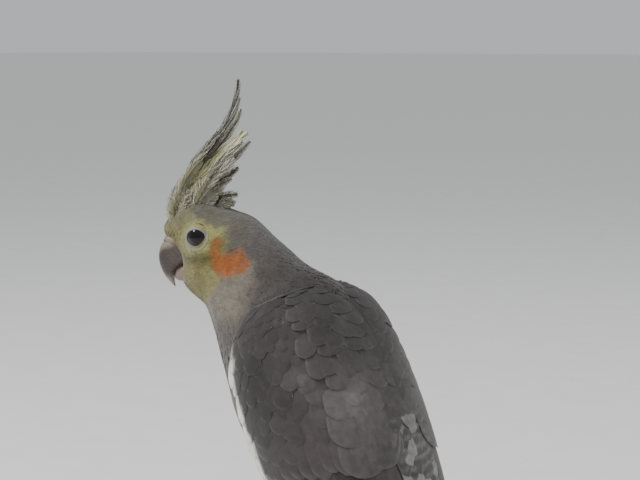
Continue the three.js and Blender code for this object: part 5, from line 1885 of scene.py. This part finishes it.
class BuildStage(bpy.types.Operator):
    """Sets up the floor, the lights and the camera"""

    bl_idname = "cockatiel.stage"
    bl_label = "Stage"

    def execute(self, context):
        kit = context.scene.cockatiel_stage
        s = Shades("floor")
        grain = s.noise(30, 6)
        pale = tuple(kit.floor)
        colour = s.mix(s.ramp(grain, 0.3, 0.7), pale, tuple(c * 0.97 for c in pale))
        material = s.finish(colour, 0.85)
        far = 40000
        corners = [(-far, -far, 0), (far, -far, 0), (far, far, 0), (-far, far, 0)]
        floor = link("floor", mesh_of("floor", corners, [(0, 1, 2, 3)]))
        floor.data.materials.append(material)
        world = bpy.data.worlds.new("studio")
        world.use_nodes = True
        shade = world.node_tree.nodes["Background"]
        shade.inputs["Color"].default_value = (*tone(213, 216, 218), 1)
        shade.inputs["Strength"].default_value = kit.world
        context.scene.world = world
        target = vec(-12, 0, 262)
        for name, place, size, power in (
            ("key", vec(-700, -700, 1500), 0.45, kit.key),
            ("fill", vec(1100, -1300, 700), 1.4, kit.fill),
            ("back", vec(700, 1300, 1100), 1.2, kit.fill),
        ):
            light = bpy.data.lights.new(name, "AREA")
            light.size, light.energy = size, power
            lamp = bpy.data.objects.new(name, light)
            lamp.visible_glossy = name == "key"
            lamp.location = place * MM
            lamp.rotation_euler = Vector((target - place) * MM).to_track_quat("-Z", "Y").to_euler()
            context.scene.collection.objects.link(lamp)
        a, e = radians(38), radians(8)
        back = vec(sin(a) * cos(e), -cos(a) * cos(e), sin(e))
        camera = bpy.data.cameras.new("camera")
        camera.lens, camera.sensor_width = 78.75, 36
        camera.clip_start, camera.clip_end = 0.01, 100
        viewer = bpy.data.objects.new("camera", camera)
        viewer.location = (vec(-12, 0, 282) + 467 * back) * MM
        viewer.rotation_euler = Vector(-back).to_track_quat("-Z", "Y").to_euler()
        context.scene.collection.objects.link(viewer)
        context.scene.camera = viewer
        return {"FINISHED"}


STEPS = (
    BuildSkin,
    BuildEyes,
    BuildCoat,
    BuildWings,
    BuildTail,
    BuildCrest,
    BuildBill,
    BuildFeet,
    BuildStand,
    BuildStage,
)


class CockatielPanel(bpy.types.Panel):
    """Lists the steps that build the cockatiel"""

    bl_idname = "VIEW3D_PT_cockatiel"
    bl_label = "Cockatiel"
    bl_space_type = "VIEW_3D"
    bl_region_type = "UI"
    bl_category = "Cockatiel"

    def draw(self, context):
        for step in STEPS:
            self.layout.operator(step.bl_idname)
        for settings in (context.scene.cockatiel_plumage, context.scene.cockatiel_stage):
            column = self.layout.column(align=True)
            for name in settings.__annotations__:
                column.prop(settings, name)


CLASSES = (PlumageSettings, StageSettings, *STEPS, CockatielPanel)


def register():
    for item in CLASSES:
        bpy.utils.register_class(item)
    bpy.types.Scene.cockatiel_plumage = PointerProperty(type=PlumageSettings)
    bpy.types.Scene.cockatiel_stage = PointerProperty(type=StageSettings)


def unregister():
    del bpy.types.Scene.cockatiel_plumage
    del bpy.types.Scene.cockatiel_stage
    for item in reversed(CLASSES):
        bpy.utils.unregister_class(item)


def main():
    register()
    for step in STEPS:
        group, name = step.bl_idname.split(".")
        getattr(getattr(bpy.ops, group), name)()


if __name__ == "__main__":
    main()
